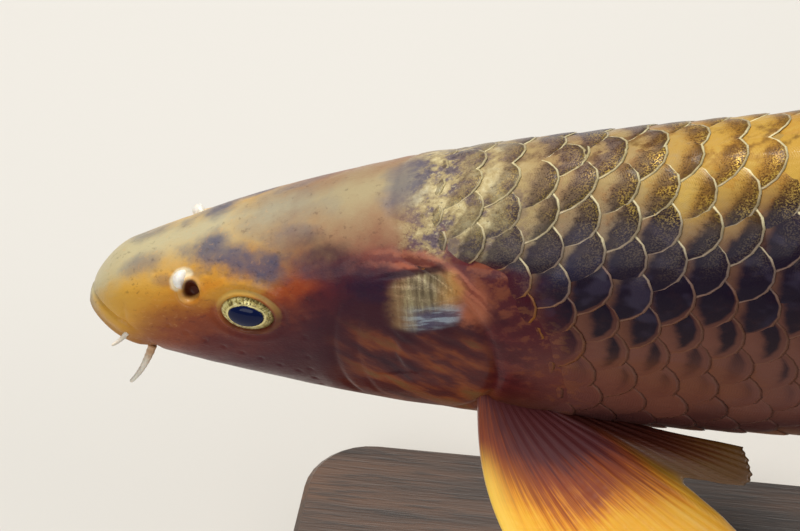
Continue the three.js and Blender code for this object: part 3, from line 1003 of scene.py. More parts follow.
        nape = (along + broad.swing(0.4)).fall(1.16, 1.44) * (spread + mottle.swing(0.2)).fall(0.16, 0.32)
        width = 0.50 + band.step(0.40, 0.65) * 0.14
        line = (inside + mottle.swing(0.8)).fall(width * 0.7, width * 1.6)
        upper = band.fall(0.2, 0.4)
        rim = rim.cover(mottle.fall(0.42, 0.54) * upper * 0.5, "9a8454")
        # Painted highlight: the upper side of each rim on the high rows is brightened.
        rim = rim.cover(across.fall(-0.30, 0.15) * upper * (1.0 - nape * 0.5) * 0.75, "fff4c4")
        rim = rim.cover(first * height.step(-0.08, 0.06), "a46a30")
        base = base.cover(line * (0.96 - band.step(0.45, 0.7) * 0.46), rim)

        # young scales by the nape are mottled cream and grey
        young = nape * (1.0 - line * 0.7) * (0.88 - dark * 0.45)
        base = base.cover(young, mottled_cream(sheet, place))

        ribs = (across.angle(ahead + 0.4) * 40.0).sin() * behind.step(-0.2, 0.2)
        rings = (inside * 9.0).sin() * inside.step(0.6, 1.4)
        relief = ribs * 0.10 + rings * 0.08 + mottle * 0.6 + grain * 0.4
        bumped = sheet.bump(relief, 0.00035, 0.5)
        rough = 0.34 - fleck * gilt * 0.1 - line * 0.06 + mottle.swing(0.25)
        return sheet.finish(
            Base_Color=base, Roughness=rough, Metallic=fleck * gilt * 0.4, Normal=bumped,
            Specular_IOR_Level=0.10, Coat_Weight=0.12, Coat_Roughness=0.10,
        )


@dataclass(frozen=True)
class FinFinish(Finish):
    """Golden orange webs between paler rays, reddish brown towards the root."""

    suffix: str = ""
    root: str = "74382c"
    rust: str = "a8542a"
    middle: str = "dc8a26"
    outer: str = "f8b63a"
    red_reach: float = 0.20
    red_lean: float = 0.0
    lead: float = 0.0
    # How strongly the rear lobe is darkened, as painted shade.
    rear: float = 0.0

    def paint_on(self, sheet: Sheet) -> bpy.types.Material:
        """Paints by the attribute "ray": place across the fin, place along the rays, height of the ray."""
        across, along, ray = sheet.parts(sheet.attribute("ray"))
        where = sheet.where()
        broad = sheet.noise(where, 38.0, 3.0, 0.5)
        fan = sheet.vector(across, along, 0.0)
        thread = sheet.noise(sheet.stretched(fan, 90.0, 3.0, 1.0), 1.0, 3.0, 0.6)
        corner = (across + broad.swing(0.1)).fall(0.0, 0.24)
        reach = along - across * self.red_lean + broad.swing(0.5) + thread.swing(0.45)
        reach = reach + corner * self.lead * 0.12
        near = self.red_reach
        base = sheet.mix(reach.step(near - 0.20, near - 0.01), self.root, self.rust)
        base = base.cover(reach.step(near - 0.03, near + 0.15), self.middle)
        base = base.cover(reach.step(near + 0.08, 0.55), self.outer)
        glow = thread.step(0.48, 0.66) * reach.step(0.3, 0.7)
        base = base.cover(glow * 0.5, "ffc850")
        base = base.cover(ray * along.fall(0.0, 0.5) * 0.3, self.root)
        base = base.cover(broad.step(0.5, 0.7) * reach.step(0.4, 0.7) * 0.35, "d8741c")
        pale = ray * along.step(0.45, 0.9)
        base = base.cover(pale * 0.2, "ffdf9a")
        edge = along.step(0.93, 1.0)
        base = base.cover(edge * 0.35, "fbd9a0")
        lead = (across + broad.swing(0.05) + thread.swing(0.06)).fall(0.0, 0.10) * along.step(0.2, 0.4)
        base = base.cover(lead * self.lead, "ffe26c")
        base = base.cover(corner * along.step(0.22, 0.45) * self.lead * 0.5, "ffbe30")
        # Painted shade over the rear lobe.
        lobe = (across + broad.swing(0.2)).step(0.58, 0.73)
        base = base.cover(lobe * self.rear, "3e160c")
        segments = (along * 190.0 + thread * 3.0).sin() * along.step(0.3, 0.6) * ray
        relief = segments * 0.12 + thread * 0.6 + broad * 0.3
        bumped = sheet.bump(relief, 0.0004, 0.6)
        rough = 0.36 + thread.swing(0.25)
        return sheet.finish(
            Base_Color=base, Roughness=rough, Normal=bumped,
            Subsurface_Weight=0.12, Subsurface_Radius=(0.004, 0.002, 0.001),
            Coat_Weight=0.35, Coat_Roughness=0.15,
        )


@dataclass(frozen=True)
class EyeFinish(Finish):
    """A glossy eye: blue-black pupil, bright gold ring, mottled gold iris."""

    def paint_on(self, sheet: Sheet) -> bpy.types.Material:
        """Paints by the attribute "iris": radius in pupils, and the direction from the centre."""
        radius, forward, upward = sheet.parts(sheet.attribute("iris"))
        where = sheet.where()
        mottle = sheet.noise(where, 700.0, 4.0, 0.65)
        spokes = sheet.noise(sheet.vector(forward * 5.0, upward * 5.0, radius * 0.6), 2.6, 3.0, 0.6)
        iris = sheet.ramp(
            mottle * 0.6 + spokes * 0.4,
            (0.36, "4c3e22"), (0.45, "94824a"), (0.52, "ccbe78"), (0.64, "f4eab4"),
        )
        lower = (upward - forward * 0.3).fall(-0.5, 0.4)
        iris = iris.cover(lower * 0.5, "80683c")
        specks = sheet.noise(where, 1500.0, 2.0, 0.5).step(0.56, 0.62) * (upward + forward).step(0.2, 0.9)
        iris = iris.cover(specks * 0.8, "3a3018")
        fringe = (radius + mottle.swing(0.4)).step(1.36, 1.64)
        iris = iris.cover(fringe * 0.6, "5a4428")
        ring = radius.step(0.97, 1.02) * radius.fall(1.06, 1.14)
        base = iris.cover(ring * 0.85, "f2e2a0")
        base = base.cover(radius.fall(0.96, 1.0), "03103a")
        pupil = radius.fall(0.94, 0.99)
        rough = 0.24 - pupil * 0.16
        metal = (1.0 - pupil) * 0.35 * (1.0 - fringe)
        bumped = sheet.bump(mottle * (1.0 - pupil), 0.0002, 0.5)
        return sheet.finish(
            Base_Color=base, Roughness=rough, Metallic=metal, Normal=bumped,
            Specular_IOR_Level=0.10, Coat_Weight=0.2, Coat_Roughness=0.03,
        )


@dataclass(frozen=True)
class PaleFinish(Finish):
    """Whitish, slightly translucent skin of the barbels and nostril flaps."""

    suffix: str = ""
    tip: str = "efe6d4"
    root: str = "c79a6c"

    def paint_on(self, sheet: Sheet) -> bpy.types.Material:
        """Blends from the skin's colour at the root to near white, by the attribute "ray"."""
        _, along, _ = sheet.parts(sheet.attribute("ray"))
        mottle = sheet.noise(sheet.where(), 420.0, 3.0, 0.6)
        base = sheet.mix((along + mottle.swing(0.4)).step(0.0, 0.45), self.root, self.tip)
        base = base.cover(mottle.fall(0.3, 0.5) * 0.3, "b08a68")
        bumped = sheet.bump(mottle, 0.0002, 0.6)
        return sheet.finish(
            Base_Color=base, Roughness=0.34 + mottle.swing(0.2), Normal=bumped,
            Subsurface_Weight=0.2, Subsurface_Radius=(0.003, 0.002, 0.0015),
            Coat_Weight=0.4, Coat_Roughness=0.12,
        )


@dataclass(frozen=True)
class WoodFinish(Finish):
    """Dark-stained hardwood, its grain running along the plinth."""

    def paint_on(self, sheet: Sheet) -> bpy.types.Material:
        """Stretches noise along x for the figure and finer still for the pores."""
        where = sheet.where()
        figure = sheet.noise(sheet.stretched(where, 5.0, 60.0, 40.0), 1.0, 5.0, 0.6)
        pores = sheet.noise(sheet.stretched(where, 60.0, 900.0, 900.0), 1.0, 3.0, 0.6)
        base = sheet.ramp(figure, (0.32, "21140d"), (0.48, "3a2517"), (0.60, "53351f"), (0.72, "6a4527"))
        base = base.cover(pores.fall(0.36, 0.5) * 0.6, "150c08")
        bumped = sheet.bump(pores * 0.7 + figure * 0.3, 0.0003, 0.5)
        return sheet.finish(
            Base_Color=base, Roughness=0.40 + figure.swing(0.3), Normal=bumped,
            Coat_Weight=0.25, Coat_Roughness=0.25,
        )


@dataclass(frozen=True)
class SteelFinish(Finish):
    """Brushed steel, the brush marks running round the rods."""

    def paint_on(self, sheet: Sheet) -> bpy.types.Material:
        """Stretches noise so that it changes fast up the rod and slowly round it."""
        where = sheet.where()
        brush = sheet.noise(sheet.stretched(where, 40.0, 40.0, 3200.0), 1.0, 3.0, 0.6)
        smear = sheet.noise(where, 30.0, 3.0, 0.5)
        base = sheet.mix(brush, "8f9296", "bfc1c4")
        rough = 0.26 + brush.swing(0.18) + smear.swing(0.12)
        bumped = sheet.bump(brush, 0.00006, 0.5)
        return sheet.finish(Base_Color=base, Roughness=rough, Metallic=1.0, Normal=bumped)


@dataclass(frozen=True)
class FloorFinish(Finish):
    """A plain pale floor."""

    def paint_on(self, sheet: Sheet) -> bpy.types.Material:
        """One colour, matt."""
        return sheet.finish(Base_Color=paint("dcdad5"), Roughness=0.85)


# --------------------------------------------------------------------------- the bare body
@dataclass
class Skin:
    """The whole body's skin, head relief included, as one closed surface."""

    form: BodyForm
    girth: Girth
    pose: Pose
    around: int = 336
    head_rings: int = 205
    trunk_rings: int = 66
    bare_inset: float = 0.15
    coat_depth: float = 1.15
    eye_centre: tuple[float, float, float] = (53.0, 19.6, 10.0)
    eye_up: float = 5.0
    eye_ahead: float = 8.0
    eye_opening: float = 8.1
    eye_flat: float = 0.68
    nostril_pit: tuple[float, float] = (35.6, 0.96)
    patch_margin: float = 0.004
    patch_share: float = 0.99

    @staticmethod
    def mouth_height(along: Array) -> Array:
        """Height of the closed mouth, slanting down towards its corner."""
        return -4.0 - 0.4 * along

    def eye_axis(self) -> Array:
        """The right eye's outward direction: sideways, a little up and a little ahead."""
        up, ahead = math.radians(self.eye_up), math.radians(self.eye_ahead)
        return np.array([-math.sin(ahead), math.cos(ahead) * math.cos(up), math.cos(ahead) * math.sin(up)])

    def mouth(self, a: Array, z: Array) -> Array:
        """A closed slit between two rolled lips, with a fold over the upper lip and one under the lower."""
        over = z - self.mouth_height(a)
        reach = 1.0 - smooth(a, 15.0, 20.0)
        corner = bell(np.hypot(a - 19.0, over), 2.2)
        slit = -1.7 * bell(over, 0.55) * reach
        lips = (0.8 * bell(over - 2.2, 1.6) + 0.7 * bell(over + 2.0, 1.3)) * reach
        above = z - (3.4 - 0.02 * a * a)
        upper_fold = -0.9 * bell(above, 0.8) * (1.0 - smooth(a, 12.5, 17.0))
        swell = 0.5 * bell(above + 3.4, 2.2) * (1.0 - smooth(a, 11.0, 17.0))
        snout_fold = -0.55 * bell(a - 13.2 - 0.12 * (z - 4.0), 0.9) * bell(z - 3.2, 4.2)
        lower_fold = -0.6 * bell(over + 4.8, 0.9) * (1.0 - smooth(a, 12.0, 18.0))
        cheek_fold = -0.5 * bell(a - 21.0 + 0.35 * over, 1.0) * bell(over - 1.0, 4.5)
        folds = upper_fold + swell + snout_fold + lower_fold + cheek_fold
        return slit + lips + folds - 0.6 * corner

    def nostril(self, points: Array) -> Array:
        """A deep pit behind the flap, with a raised lip that is highest in front."""
        pit = self.form.point(*np.array(self.nostril_pit))
        apart = points - pit
        radius = np.sqrt((apart[..., 0] * 0.95) ** 2 + apart[..., 1] ** 2 + apart[..., 2] ** 2)
        ahead = smooth(-apart[..., 0], -3.0, 3.0)
        return -2.8 * (1.0 - smooth(radius, 1.4, 3.1)) + (0.25 + 0.55 * ahead) * bell(radius - 3.8, 0.8)

    def socket(self, points: Array) -> Array:
        """Drops the skin inside the eye's opening and rolls a soft rim round it."""
        axis = self.eye_axis()
        apart = points - np.array(self.eye_centre)
        flat = apart - (apart @ axis)[..., None] * axis
        radius = np.linalg.norm(flat * np.array([1.0, 1.0, 1.0 / self.eye_flat]), axis=-1)
        near = apart @ axis > -8.0
        sunk = -3.2 * (1.0 - smooth(radius, self.eye_opening - 1.3, self.eye_opening + 0.1))
        rim = 0.75 * bell(radius - self.eye_opening - 0.75, 0.75)
        furrow = -0.45 * bell(radius - self.eye_opening - 3.0, 1.1)
        brow = 0.5 * bell(radius - 12.5, 2.4) * smooth(apart[..., 2], 0.0, 8.0)
        pouch = 0.35 * bell(radius - 12.0, 2.6) * smooth(-apart[..., 2], 0.0, 8.0)
        return np.where(near, sunk + rim + furrow + brow + pouch, 0.0)

    def gill(self, a: Array, z: Array) -> Array:
        """The gill cover: a step down at its rear edge, the cheek's groove in front, sutures and ribs."""
        (a0, z0), (ra, rz) = self.form.gill_centre, self.form.gill_radii
        beyond = self.form.beyond_gill(a, z)
        bearing = np.arctan2((z - z0) / rz, (a - a0) / ra)
        rear = smooth(np.cos(bearing), -0.15, 0.5)
        raised = 0.85 * (1.0 - smooth(beyond, -1.0, 0.9)) * smooth(-beyond, -1.0, 22.0) ** 0.35
        slot = -1.0 * bell(beyond - 1.1, 1.25)
        membrane = 0.35 * bell(beyond - 5.0, 2.6) * smooth(z, 0.0, 14.0)
        cheek = a - (76.5 + 0.011 * (z + 3.0) ** 2)
        groove = -0.6 * bell(cheek, 1.0) * smooth(z, -25.0, -17.0) * smooth(z, 25.0, 19.0)
        swell = 0.45 * bell(cheek + 5.0, 3.6) * bell(z + 2.0, 17.0)
        second = -0.3 * bell(cheek - 7.0, 0.9) * smooth(z, -23.0, -16.0) * smooth(z, 20.0, 12.0)
        suture = -0.30 * bell(z + 9.0 - 0.012 * (a - 84.0) ** 2, 1.1)
        suture = suture * smooth(a, 84.0, 92.0) * smooth(a, 118.0, 104.0)
        fan = np.arctan2(z - 22.0, a - 82.0)
        ribs = 0.10 * np.sin(fan * 44.0) * smooth(a, 88.0, 98.0)
        ribs = ribs * smooth(-beyond, 1.0, 5.0) * smooth(z, -12.0, -4.0)
        return (raised + slot + membrane) * rear + groove + swell + second + suture + ribs

    def throat(self, a: Array, y: Array, turn: Array) -> Array:
        """Gill membranes that meet under the throat in a narrow V, and a groove along the chin."""
        under = smooth(np.abs(turn), 2.1, 2.5)
        off = np.abs(y) - 2.0 - 0.36 * np.maximum(a - 58.0, 0.0)
        membrane = -0.8 * bell(off, 0.9) * smooth(a, 56.0, 60.0) * (1.0 - smooth(a, 100.0, 112.0))
        folds = -0.35 * bell(off - 4.5, 1.0) * smooth(a, 64.0, 70.0) * (1.0 - smooth(a, 96.0, 106.0))
        chin = -0.5 * bell(y, 0.9) * smooth(a, 16.0, 24.0) * (1.0 - smooth(a, 46.0, 58.0))
        return (membrane + folds + chin) * under

    def pores(self, points: Array) -> Array:
        """Small sensory pits: one line over the eye, one under it and one down the preopercle."""
        lines = (
            [(a, 0.62 + 0.010 * (a - 30)) for a in np.linspace(24.0, 64.0, 8)],
            [(a, 1.62 + 0.012 * (a - 40)) for a in np.linspace(27.0, 64.0, 8)],
            [(72.0 - 4.0 * math.sin(t), 1.0 + 0.55 * t) for t in np.linspace(0.2, 2.2, 7)],
        )
        total = np.zeros(points.shape[:-1])
        for a, turn in (spot for line in lines for spot in line):
            centre = self.form.point(np.array(a), np.array(turn))
            total -= 0.42 * bell(np.linalg.norm(points - centre, axis=-1), 0.62)
        return total

    def relief(self, points: Array, turn: Array) -> Array:
        """How far the skin stands out of the body's surface, in millimetres.

        Args:
            points: Places on the body's surface.
            turn: Their angles from the back.

        Returns:
            The height at each place, negative inwards.
        """
        a, z = points[..., 0], points[..., 2]
        folded = points * np.array([1.0, 0.0, 1.0]) + np.abs(points) * np.array([0.0, 1.0, 0.0])
        y = folded[..., 1]
        under_scales = smooth(a - self.form.scale_line(z), -4.0, 14.0)
        inset = lerp(self.bare_inset, self.coat_depth, under_scales)
        head = 1.0 - smooth(a, 118.0, 134.0)
        shape = self.mouth(a, z) + self.nostril(folded) + self.socket(folded)
        shape = shape + self.gill(a, z) + self.throat(a, y, turn) + self.pores(folded)
        snout_dip = -0.5 * bell(a - 30.0, 7.0) * bell(np.abs(turn), 0.45)
        nape_line = -0.45 * bell(a - 101.0 + 5.0 * np.cos(2 * turn), 1.6) * bell(np.abs(turn), 0.75)
        shape = shape + snout_dip + nape_line
        uneven = 0.14 * rumple(a / 34.0, turn * 0.9, 5) + 0.05 * rumple(a / 9.0, turn * 3.2, 8)
        return head * (shape + uneven * smooth(a, 2.0, 12.0)) - inset

    def build(self) -> Piece:
        """Rings along the body, closer together on the head, with a pole at each end.

        The turn runs the other way round than a tube's rings do, so the faces are wound
        backwards and look out of the body.
        """
        head = self.form.head + 14.0
        s = np.linspace(0.0, 1.0, self.head_rings)
        front = head * (0.35 * s**2.2 + 0.65 * s)
        rear = np.linspace(head, self.form.length, self.trunk_rings + 1)[1:]
        along = np.concatenate([front, rear])[1:-1]
        a, t = np.meshgrid(along, circle(self.around) - math.pi, indexing="ij")
        surface = self.form.point(a, t)
        points = surface + self.relief(surface, t)[..., None] * self.form.outward(a, t, 0.25, 0.004)
        poles = np.array([[self.bare_inset, 0, -1.0], [self.form.length - self.coat_depth, 0, 3.0]])
        everything = np.concatenate([points.reshape(-1, 3), poles])
        place = np.stack([a, self.girth.distance(a, t), surface[..., 2]], -1).reshape(-1, 3)
        place = np.concatenate([place, [[0, 0, -1.0], [self.form.length, 0, 3.0]]]) / PLACE_UNIT
        quads, caps = tube_faces(len(along), self.around)
        quads, caps = quads[:, ::-1], caps[:, [0, 2, 1]]
        patches = self.unwrap(along, quads, caps)
        return Piece("skin", self.pose.place(everything), quads, caps, {"place": place}, patches)

    def unwrap(self, along: Array, quads: Array, caps: Array) -> Array:
        """The body unrolled to a rectangle: distance along to u, turn to v, the seam under the belly."""
        u = np.concatenate([np.repeat(along, self.around), [0.0, self.form.length]]) / self.form.length
        v = np.append(np.tile(np.arange(self.around), len(along)) / self.around, [0.0, 0.0])

        def corners(faces: Array, tip: bool) -> Array:
            """The u and v of every corner of some faces; a tip shares its neighbours' v."""
            vv = v[faces]
            if tip:
                vv[:, 0] = vv[:, 1:].mean(axis=1)
            wrapped = vv.max(axis=1, keepdims=True) - vv.min(axis=1, keepdims=True) > 0.5
            vv = np.where(wrapped & (vv < 0.5), vv + 1.0, vv)
            if tip:
                vv[:, 0] = vv[:, 1:].mean(axis=1)
            return np.stack([u[faces], vv], -1).reshape(-1, 2)

        flat = np.concatenate([corners(quads, False), corners(caps, True)])
        return self.patch_margin + self.patch_share * flat


# --------------------------------------------------------------------------- the coat
@dataclass
class ScaleCoat:
    """Overlapping scales in slanting rows round the trunk, each a thin closed leaf.

    On a side, rows are counted from the back's ridge to the belly's, and a scale's shape is
    told in two of its own measures: across in rows, and ahead of its tip in spacings.
    """

    form: BodyForm
    girth: Girth
    pose: Pose
    rows: int = 26
    pitch_full: float = 11.25
    pitch_rear: float = 7.2
    shrink_from: float = 225.0
    anchor: float = 190.5
    drift: float = 0.09
    top_shift: float = -0.27
    top_sunk: float = 0.08
    slant: float = 0.0155
    slides: tuple[float, float] = (-1.05, 0.25)
    past_ridge: float = 0.15
    long: float = 1.75
    high: tuple[float, float] = (1.0, 1.5)
    low: tuple[float, float] = (1.2, 1.6)
    thick: float = 0.30
    rise: float = 1.15
    tilt: float = 0.25
    sunk: float = 0.18
    depth: float = 1.15
    emerge: float = 0.35
    corners: tuple[float, ...] = (-1.45, -1.0, -0.62, -0.3, 0.0, 0.28, 0.56, 0.84, 1.12, 1.45)
    levels: tuple[float, ...] = (0.0, 0.45, 0.78, 0.94, 1.0)
    seed: int = 21
    cells: int = 50
    top_cell: tuple[float, float] = (0.05, 0.70)
    under_cell: tuple[float, float] = (0.82, 0.12)
    across_cell: tuple[float, float] = (0.05, 0.90)

    def pitch(self, along: Array) -> Array:
        """Spacing of the scales along a row, shrinking towards the tail."""
        share = np.clip((along - self.shrink_from) / (self.form.length - self.shrink_from), 0, 1)
        return lerp(self.pitch_full, self.pitch_rear, share)

    def share(self, along: Array, row: Array, side: Side) -> Array:
        """The share of the girth where a row runs.

        The rows slant down from nape to trunk: the back's ridge cuts off the upper ones,
        and the slide fades out towards the belly.
        """
        slide = np.clip(self.slant * (along - self.anchor), *self.slides)
        share = side.value * (row + slide * smooth(row, 13.0, 6.0)) / self.rows
        return (share + 0.5) % 1.0 - 0.5

    def tips(self, side: Side) -> tuple[Array, Array, Array]:
        """The rear tips of all scales of a side, each row set back a little from the one above.

        Returns:
            The distance along, the row, and the place in its row, of each scale.
        """
        ruler = np.linspace(80.0, self.form.length + 12.0, 900)
        gaps = np.diff(ruler) / self.pitch((ruler[1:] + ruler[:-1]) / 2)
        count = np.concatenate([[0.0], np.cumsum(gaps)])
        count -= np.interp(self.anchor, ruler, count)
        order, number = np.meshgrid(np.arange(self.rows // 2), np.arange(self.cells), indexing="ij")
        row = order + 0.5
        step = number - 10 + self.drift * (order - 1) + self.top_shift * (order == 0)
        along = np.interp(step, count, ruler, left=-1.0, right=-1.0)
        share = self.share(along, row, side)
        height = self.form.point(along, self.girth.turn_at(along, share))[..., 2]
        start = self.form.scale_line(height)
        kept = (along > start + 0.3 * self.pitch(along)) & (along < self.form.length - 6.0)
        kept &= share * side.value * self.rows > -self.past_ridge
        return along[kept], row[kept], number[kept]

    def edge(self, across: Array) -> Array:
        """How far the free edge lies in front of the tip: a quarter oval above it and one below."""
        above = np.clip(-across / self.high[0], 0.0, 0.998)
        below = np.clip(across / self.low[0], 0.0, 0.998)
        upper = self.high[1] * (1.0 - np.sqrt(1.0 - above**2))
        return upper + self.low[1] * (1.0 - np.sqrt(1.0 - below**2))

    def leaf(self) -> tuple[Array, Array]:
        """One scale on a grid from its root to its free edge: across, and ahead of the tip."""
        corner = np.sin(np.array(self.corners))[None]
        v = np.array(self.levels)[:, None]
        across = corner * np.where(corner < 0, self.high[0], self.low[0])
        return across * lerp(0.9, 1.0, smooth(v, 0.0, 0.6)), lerp(self.long, self.edge(across), v)

    def inside_edge(self, across: Array, ahead: Array) -> Array:
        """Distance inside the free edge, in spacings, square to its slope."""
        slope = (self.edge(across + 0.01) - self.edge(across - 0.01)) / 0.02
        return np.maximum(ahead - self.edge(across), 0.0) / np.sqrt(1.0 + slope**2)

    def build(self, side: Side) -> Piece:
        """All the scales of one side as one mesh.

        Each scale is a tilted plane, highest at its free edge and at its lower side, so that
        it lies over the scale behind it and the row below, with a low dome and a soft rim.

        Args:
            side: The fish's left or right.

        Returns:
            The joined scales.
        """
        along, row, number = self.tips(side)
        rng = np.random.default_rng(self.seed + side.value)
        count = len(along)
        across, ahead = self.leaf()
        rows, columns = across.shape
        pitch = self.pitch(along)[:, None, None]
        spacing = (self.girth.around(along) / self.rows)[:, None, None]
        size = 1.0 + 0.03 * rng.standard_normal((count, 1, 1))
        slew = 0.04 * rng.standard_normal((count, 1, 1))
        forward = ahead[None] * pitch * size
        sideways = across[None] * spacing * size
        x = along[:, None, None] + 0.3 * rng.standard_normal((count, 1, 1)) - forward - slew * sideways
        off = sideways + slew * (forward - 0.5 * pitch)
        share = self.share(x, row[:, None, None] + off / spacing, side)
        inside = self.inside_edge(across, ahead)[None] * pitch
        dome = 0.22 * (1.0 - across[None] ** 2) * smooth(inside, 0.0, 3.0)
        curl = -0.16 * bell(inside, 0.5)
        lift = self.rise * (1.0 - ahead / self.long) + self.tilt * across - self.sunk
        lift = lift[None] + dome + curl + 0.04 * rng.standard_normal((count, 1, 1))
        lift = lift - self.top_sunk * (row < 1.0)[:, None, None]
        start = self.form.scale_line(self.form.point(x, self.girth.turn_at(x, share))[..., 2])
        lift = lift - self.emerge * (1.0 - smooth(x - start, 0.0, 15.0))
        lift = np.minimum(lift, self.depth - 0.02)
        top = self.lay(x, share, lift).reshape(count, -1, 3)
        middle = (slice(None), np.array([rows // 2]), np.array([columns // 2]))
        under = self.lay(x[middle], share[middle], lift[middle] - self.thick)
        points = np.concatenate([top, under], axis=1)
        front, rim = self.faces(rows, columns)
        per = points.shape[1]
        first = (np.arange(count) * per)[:, None, None]
        quads = (front[None] + first).reshape(-1, 4)
        caps = (rim[None] + first).reshape(-1, 3)

        def both(grid: Array) -> Array:
            """A value for the top's vertices and then for the one underneath."""
            flat = np.broadcast_to(grid, (count, rows, columns))
            return np.concatenate([flat.reshape(count, -1), flat[middle]], axis=1).ravel()

        turn = self.girth.turn_at(x, share)
        round_back, height = self.girth.distance(x, turn), self.form.point(x, turn)[..., 2]
        place = np.stack([both(x), both(round_back), both(height)], -1)
        scale = np.stack([both(across), both(ahead), both(inside)], -1)
        tone = np.repeat(rng.random(count), per)
        values = {"place": place / PLACE_UNIT, "scale": scale, "tone": tone}
        if side is Side.LEFT:
            quads, caps = quads[:, ::-1], caps[:, ::-1]
        patches = self.patches(row, number, front, rim, side)
        placed = self.pose.place(points.reshape(-1, 3))
        return Piece(f"scales_{side.word}", placed, quads, caps, values, patches)

    @staticmethod
    def faces(rows: int, columns: int) -> tuple[Array, Array]:
        """Quads of the top, and triangles from its rim to the one vertex underneath."""
        grid = np.arange(rows * columns).reshape(rows, columns)
        rim = np.concatenate([grid[0, :-1], grid[:-1, -1], grid[-1, :0:-1], grid[:0:-1, 0]])
        under = np.full(len(rim), rows * columns)
        return sheet_faces(grid), np.stack([rim, np.roll(rim, -1), under], -1)

    def lay(self, along: Array, share: Array, lift: Array) -> Array:
        """Points over the skin: out from the body's surface by the lift less the coat's depth."""
        turn = self.girth.turn_at(along, share)
        outward = self.form.outward(along, turn, 0.5, 0.01)
        return self.form.point(along, turn) + (lift - self.depth)[..., None] * outward

    def patches(self, row: Array, number: Array, front: Array, rim: Array, side: Side) -> Array:
        """Each scale's own patch on the unrolled skin, at its root's place.

        The side unrolls to a rectangle of cells, one for each scale of a row by one for
        each row. The scale's top fills most of its cell and its underside a strip beside it.

        Returns:
            The u and v of every corner of every face, in the faces' order.
        """
        rows = self.rows / 2.0
        u0 = number[:, None] / self.cells
        v0 = (row - 0.5)[:, None] / rows
        u, v = np.meshgrid(np.linspace(0, 1, len(self.corners)), np.array(self.levels))
        x, y = np.append(v.ravel(), 0.5), np.append(u.ravel(), 0.5)
        if side is Side.LEFT:
            front, rim = front[:, ::-1], rim[:, ::-1]

        def cell(faces: Array, span: tuple[float, float]) -> Array:
            """The u and v of every corner of the same faces of all the scales."""
            ahead = span[0] + span[1] * x[faces].ravel()
            across = self.across_cell[0] + self.across_cell[1] * y[faces].ravel()
            return np.stack([u0 + ahead[None] / self.cells, v0 + across[None] / rows], -1).reshape(-1, 2)

        return np.concatenate([cell(front, self.top_cell), cell(rim, self.under_cell)])


# --------------------------------------------------------------------------- fins
@dataclass
class Fin:
    """A fan of rays: a root line, a direction and a length for every ray, and webs between them."""

    name: str
    pose: Pose
    rays: int
    rows: int
    root: Callable[[Array], Array]
    ray: Callable[[Array], Array]
    length: Callable[[Array], Array]
    lift: Field = lambda u, w: np.zeros(np.broadcast(u, w).shape)
    half_root: float = 1.6
    half_edge: float = 0.4
    per_ray: int = 10
    fleshy: float = 0.01
    bow: float = 0.0
    wave: float = 0.6
    notch: float = 0.02
    seed: int = 3

    def middle(self, u: Array, w: Array) -> Array:
        """The fin's middle surface: root + direction * length * w, raised by the lift.

        The front rays bow forward by bow * sin(pi * w) * (1 - u)^2.
        """
        reach = (self.length(u) * w)[..., None] * unit(self.ray(u))
        reach[..., 0] -= self.bow * np.sin(math.pi * w) * (1.0 - u) ** 2
        reach[..., 2] += self.lift(u, w)
        return self.root(u) + reach

    def ridge(self, u: Array, w: Array) -> Array:
        """Height of the rays, 0 to 1: a cosine across the fin that doubles where the rays branch."""
        single = 0.5 + 0.5 * np.cos(2 * math.pi * self.rays * u)
        double = 0.5 + 0.5 * np.cos(4 * math.pi * self.rays * u)
        return lerp(single, 0.35 * single + 0.65 * double, smooth(w, 0.4, 0.7))

    def build(self) -> Piece:
        """Two sheets either side of the middle surface, closed along every edge."""
        u = np.linspace(0.0, 1.0, self.rays * self.per_ray + 1)
        w = np.linspace(0.0, 1.0, self.rows + 1)
        uu, ww = np.meshgrid(u, w, indexing="ij")
        ridge = self.ridge(uu, ww)
        reach = ww * (1.0 - self.notch * (1.0 - ridge) * smooth(ww, 0.5, 1.0))
        middle = self.middle(uu, reach)
        normal = grid_normals(middle)
        ripple = self.wave * rumple(uu * 1.6, ww * 0.8, self.seed) * smooth(ww, 0.15, 0.9)
        full = lerp(self.half_root, self.half_edge, np.sqrt(ww))
        half = full * lerp(lerp(0.94, 0.74, smooth(ww, 0.0, self.fleshy)), 0.96, ridge)
        from_sides = np.minimum(uu, 1 - uu) * self.rays * 3.0
        from_ends = np.minimum(ww, 1 - ww) * self.rows * 0.6
        half = half * np.clip(np.minimum(from_sides, from_ends), 0.0, 1.0) ** 0.5
        middle = middle + ripple[..., None] * normal
        values = np.stack([uu, ww, ridge], -1)
        points, quads, values = pillow(middle, half[..., None] * normal, values)
        return Piece(self.name, self.pose.place(points), quads, None, {"ray": values})


def direction(x: Array, y: Array | float, z: Array | float) -> Array:
    """Vectors from their three parts, which are spread to one shape."""
    return np.stack(np.broadcast_arrays(x, y, z), axis=-1)


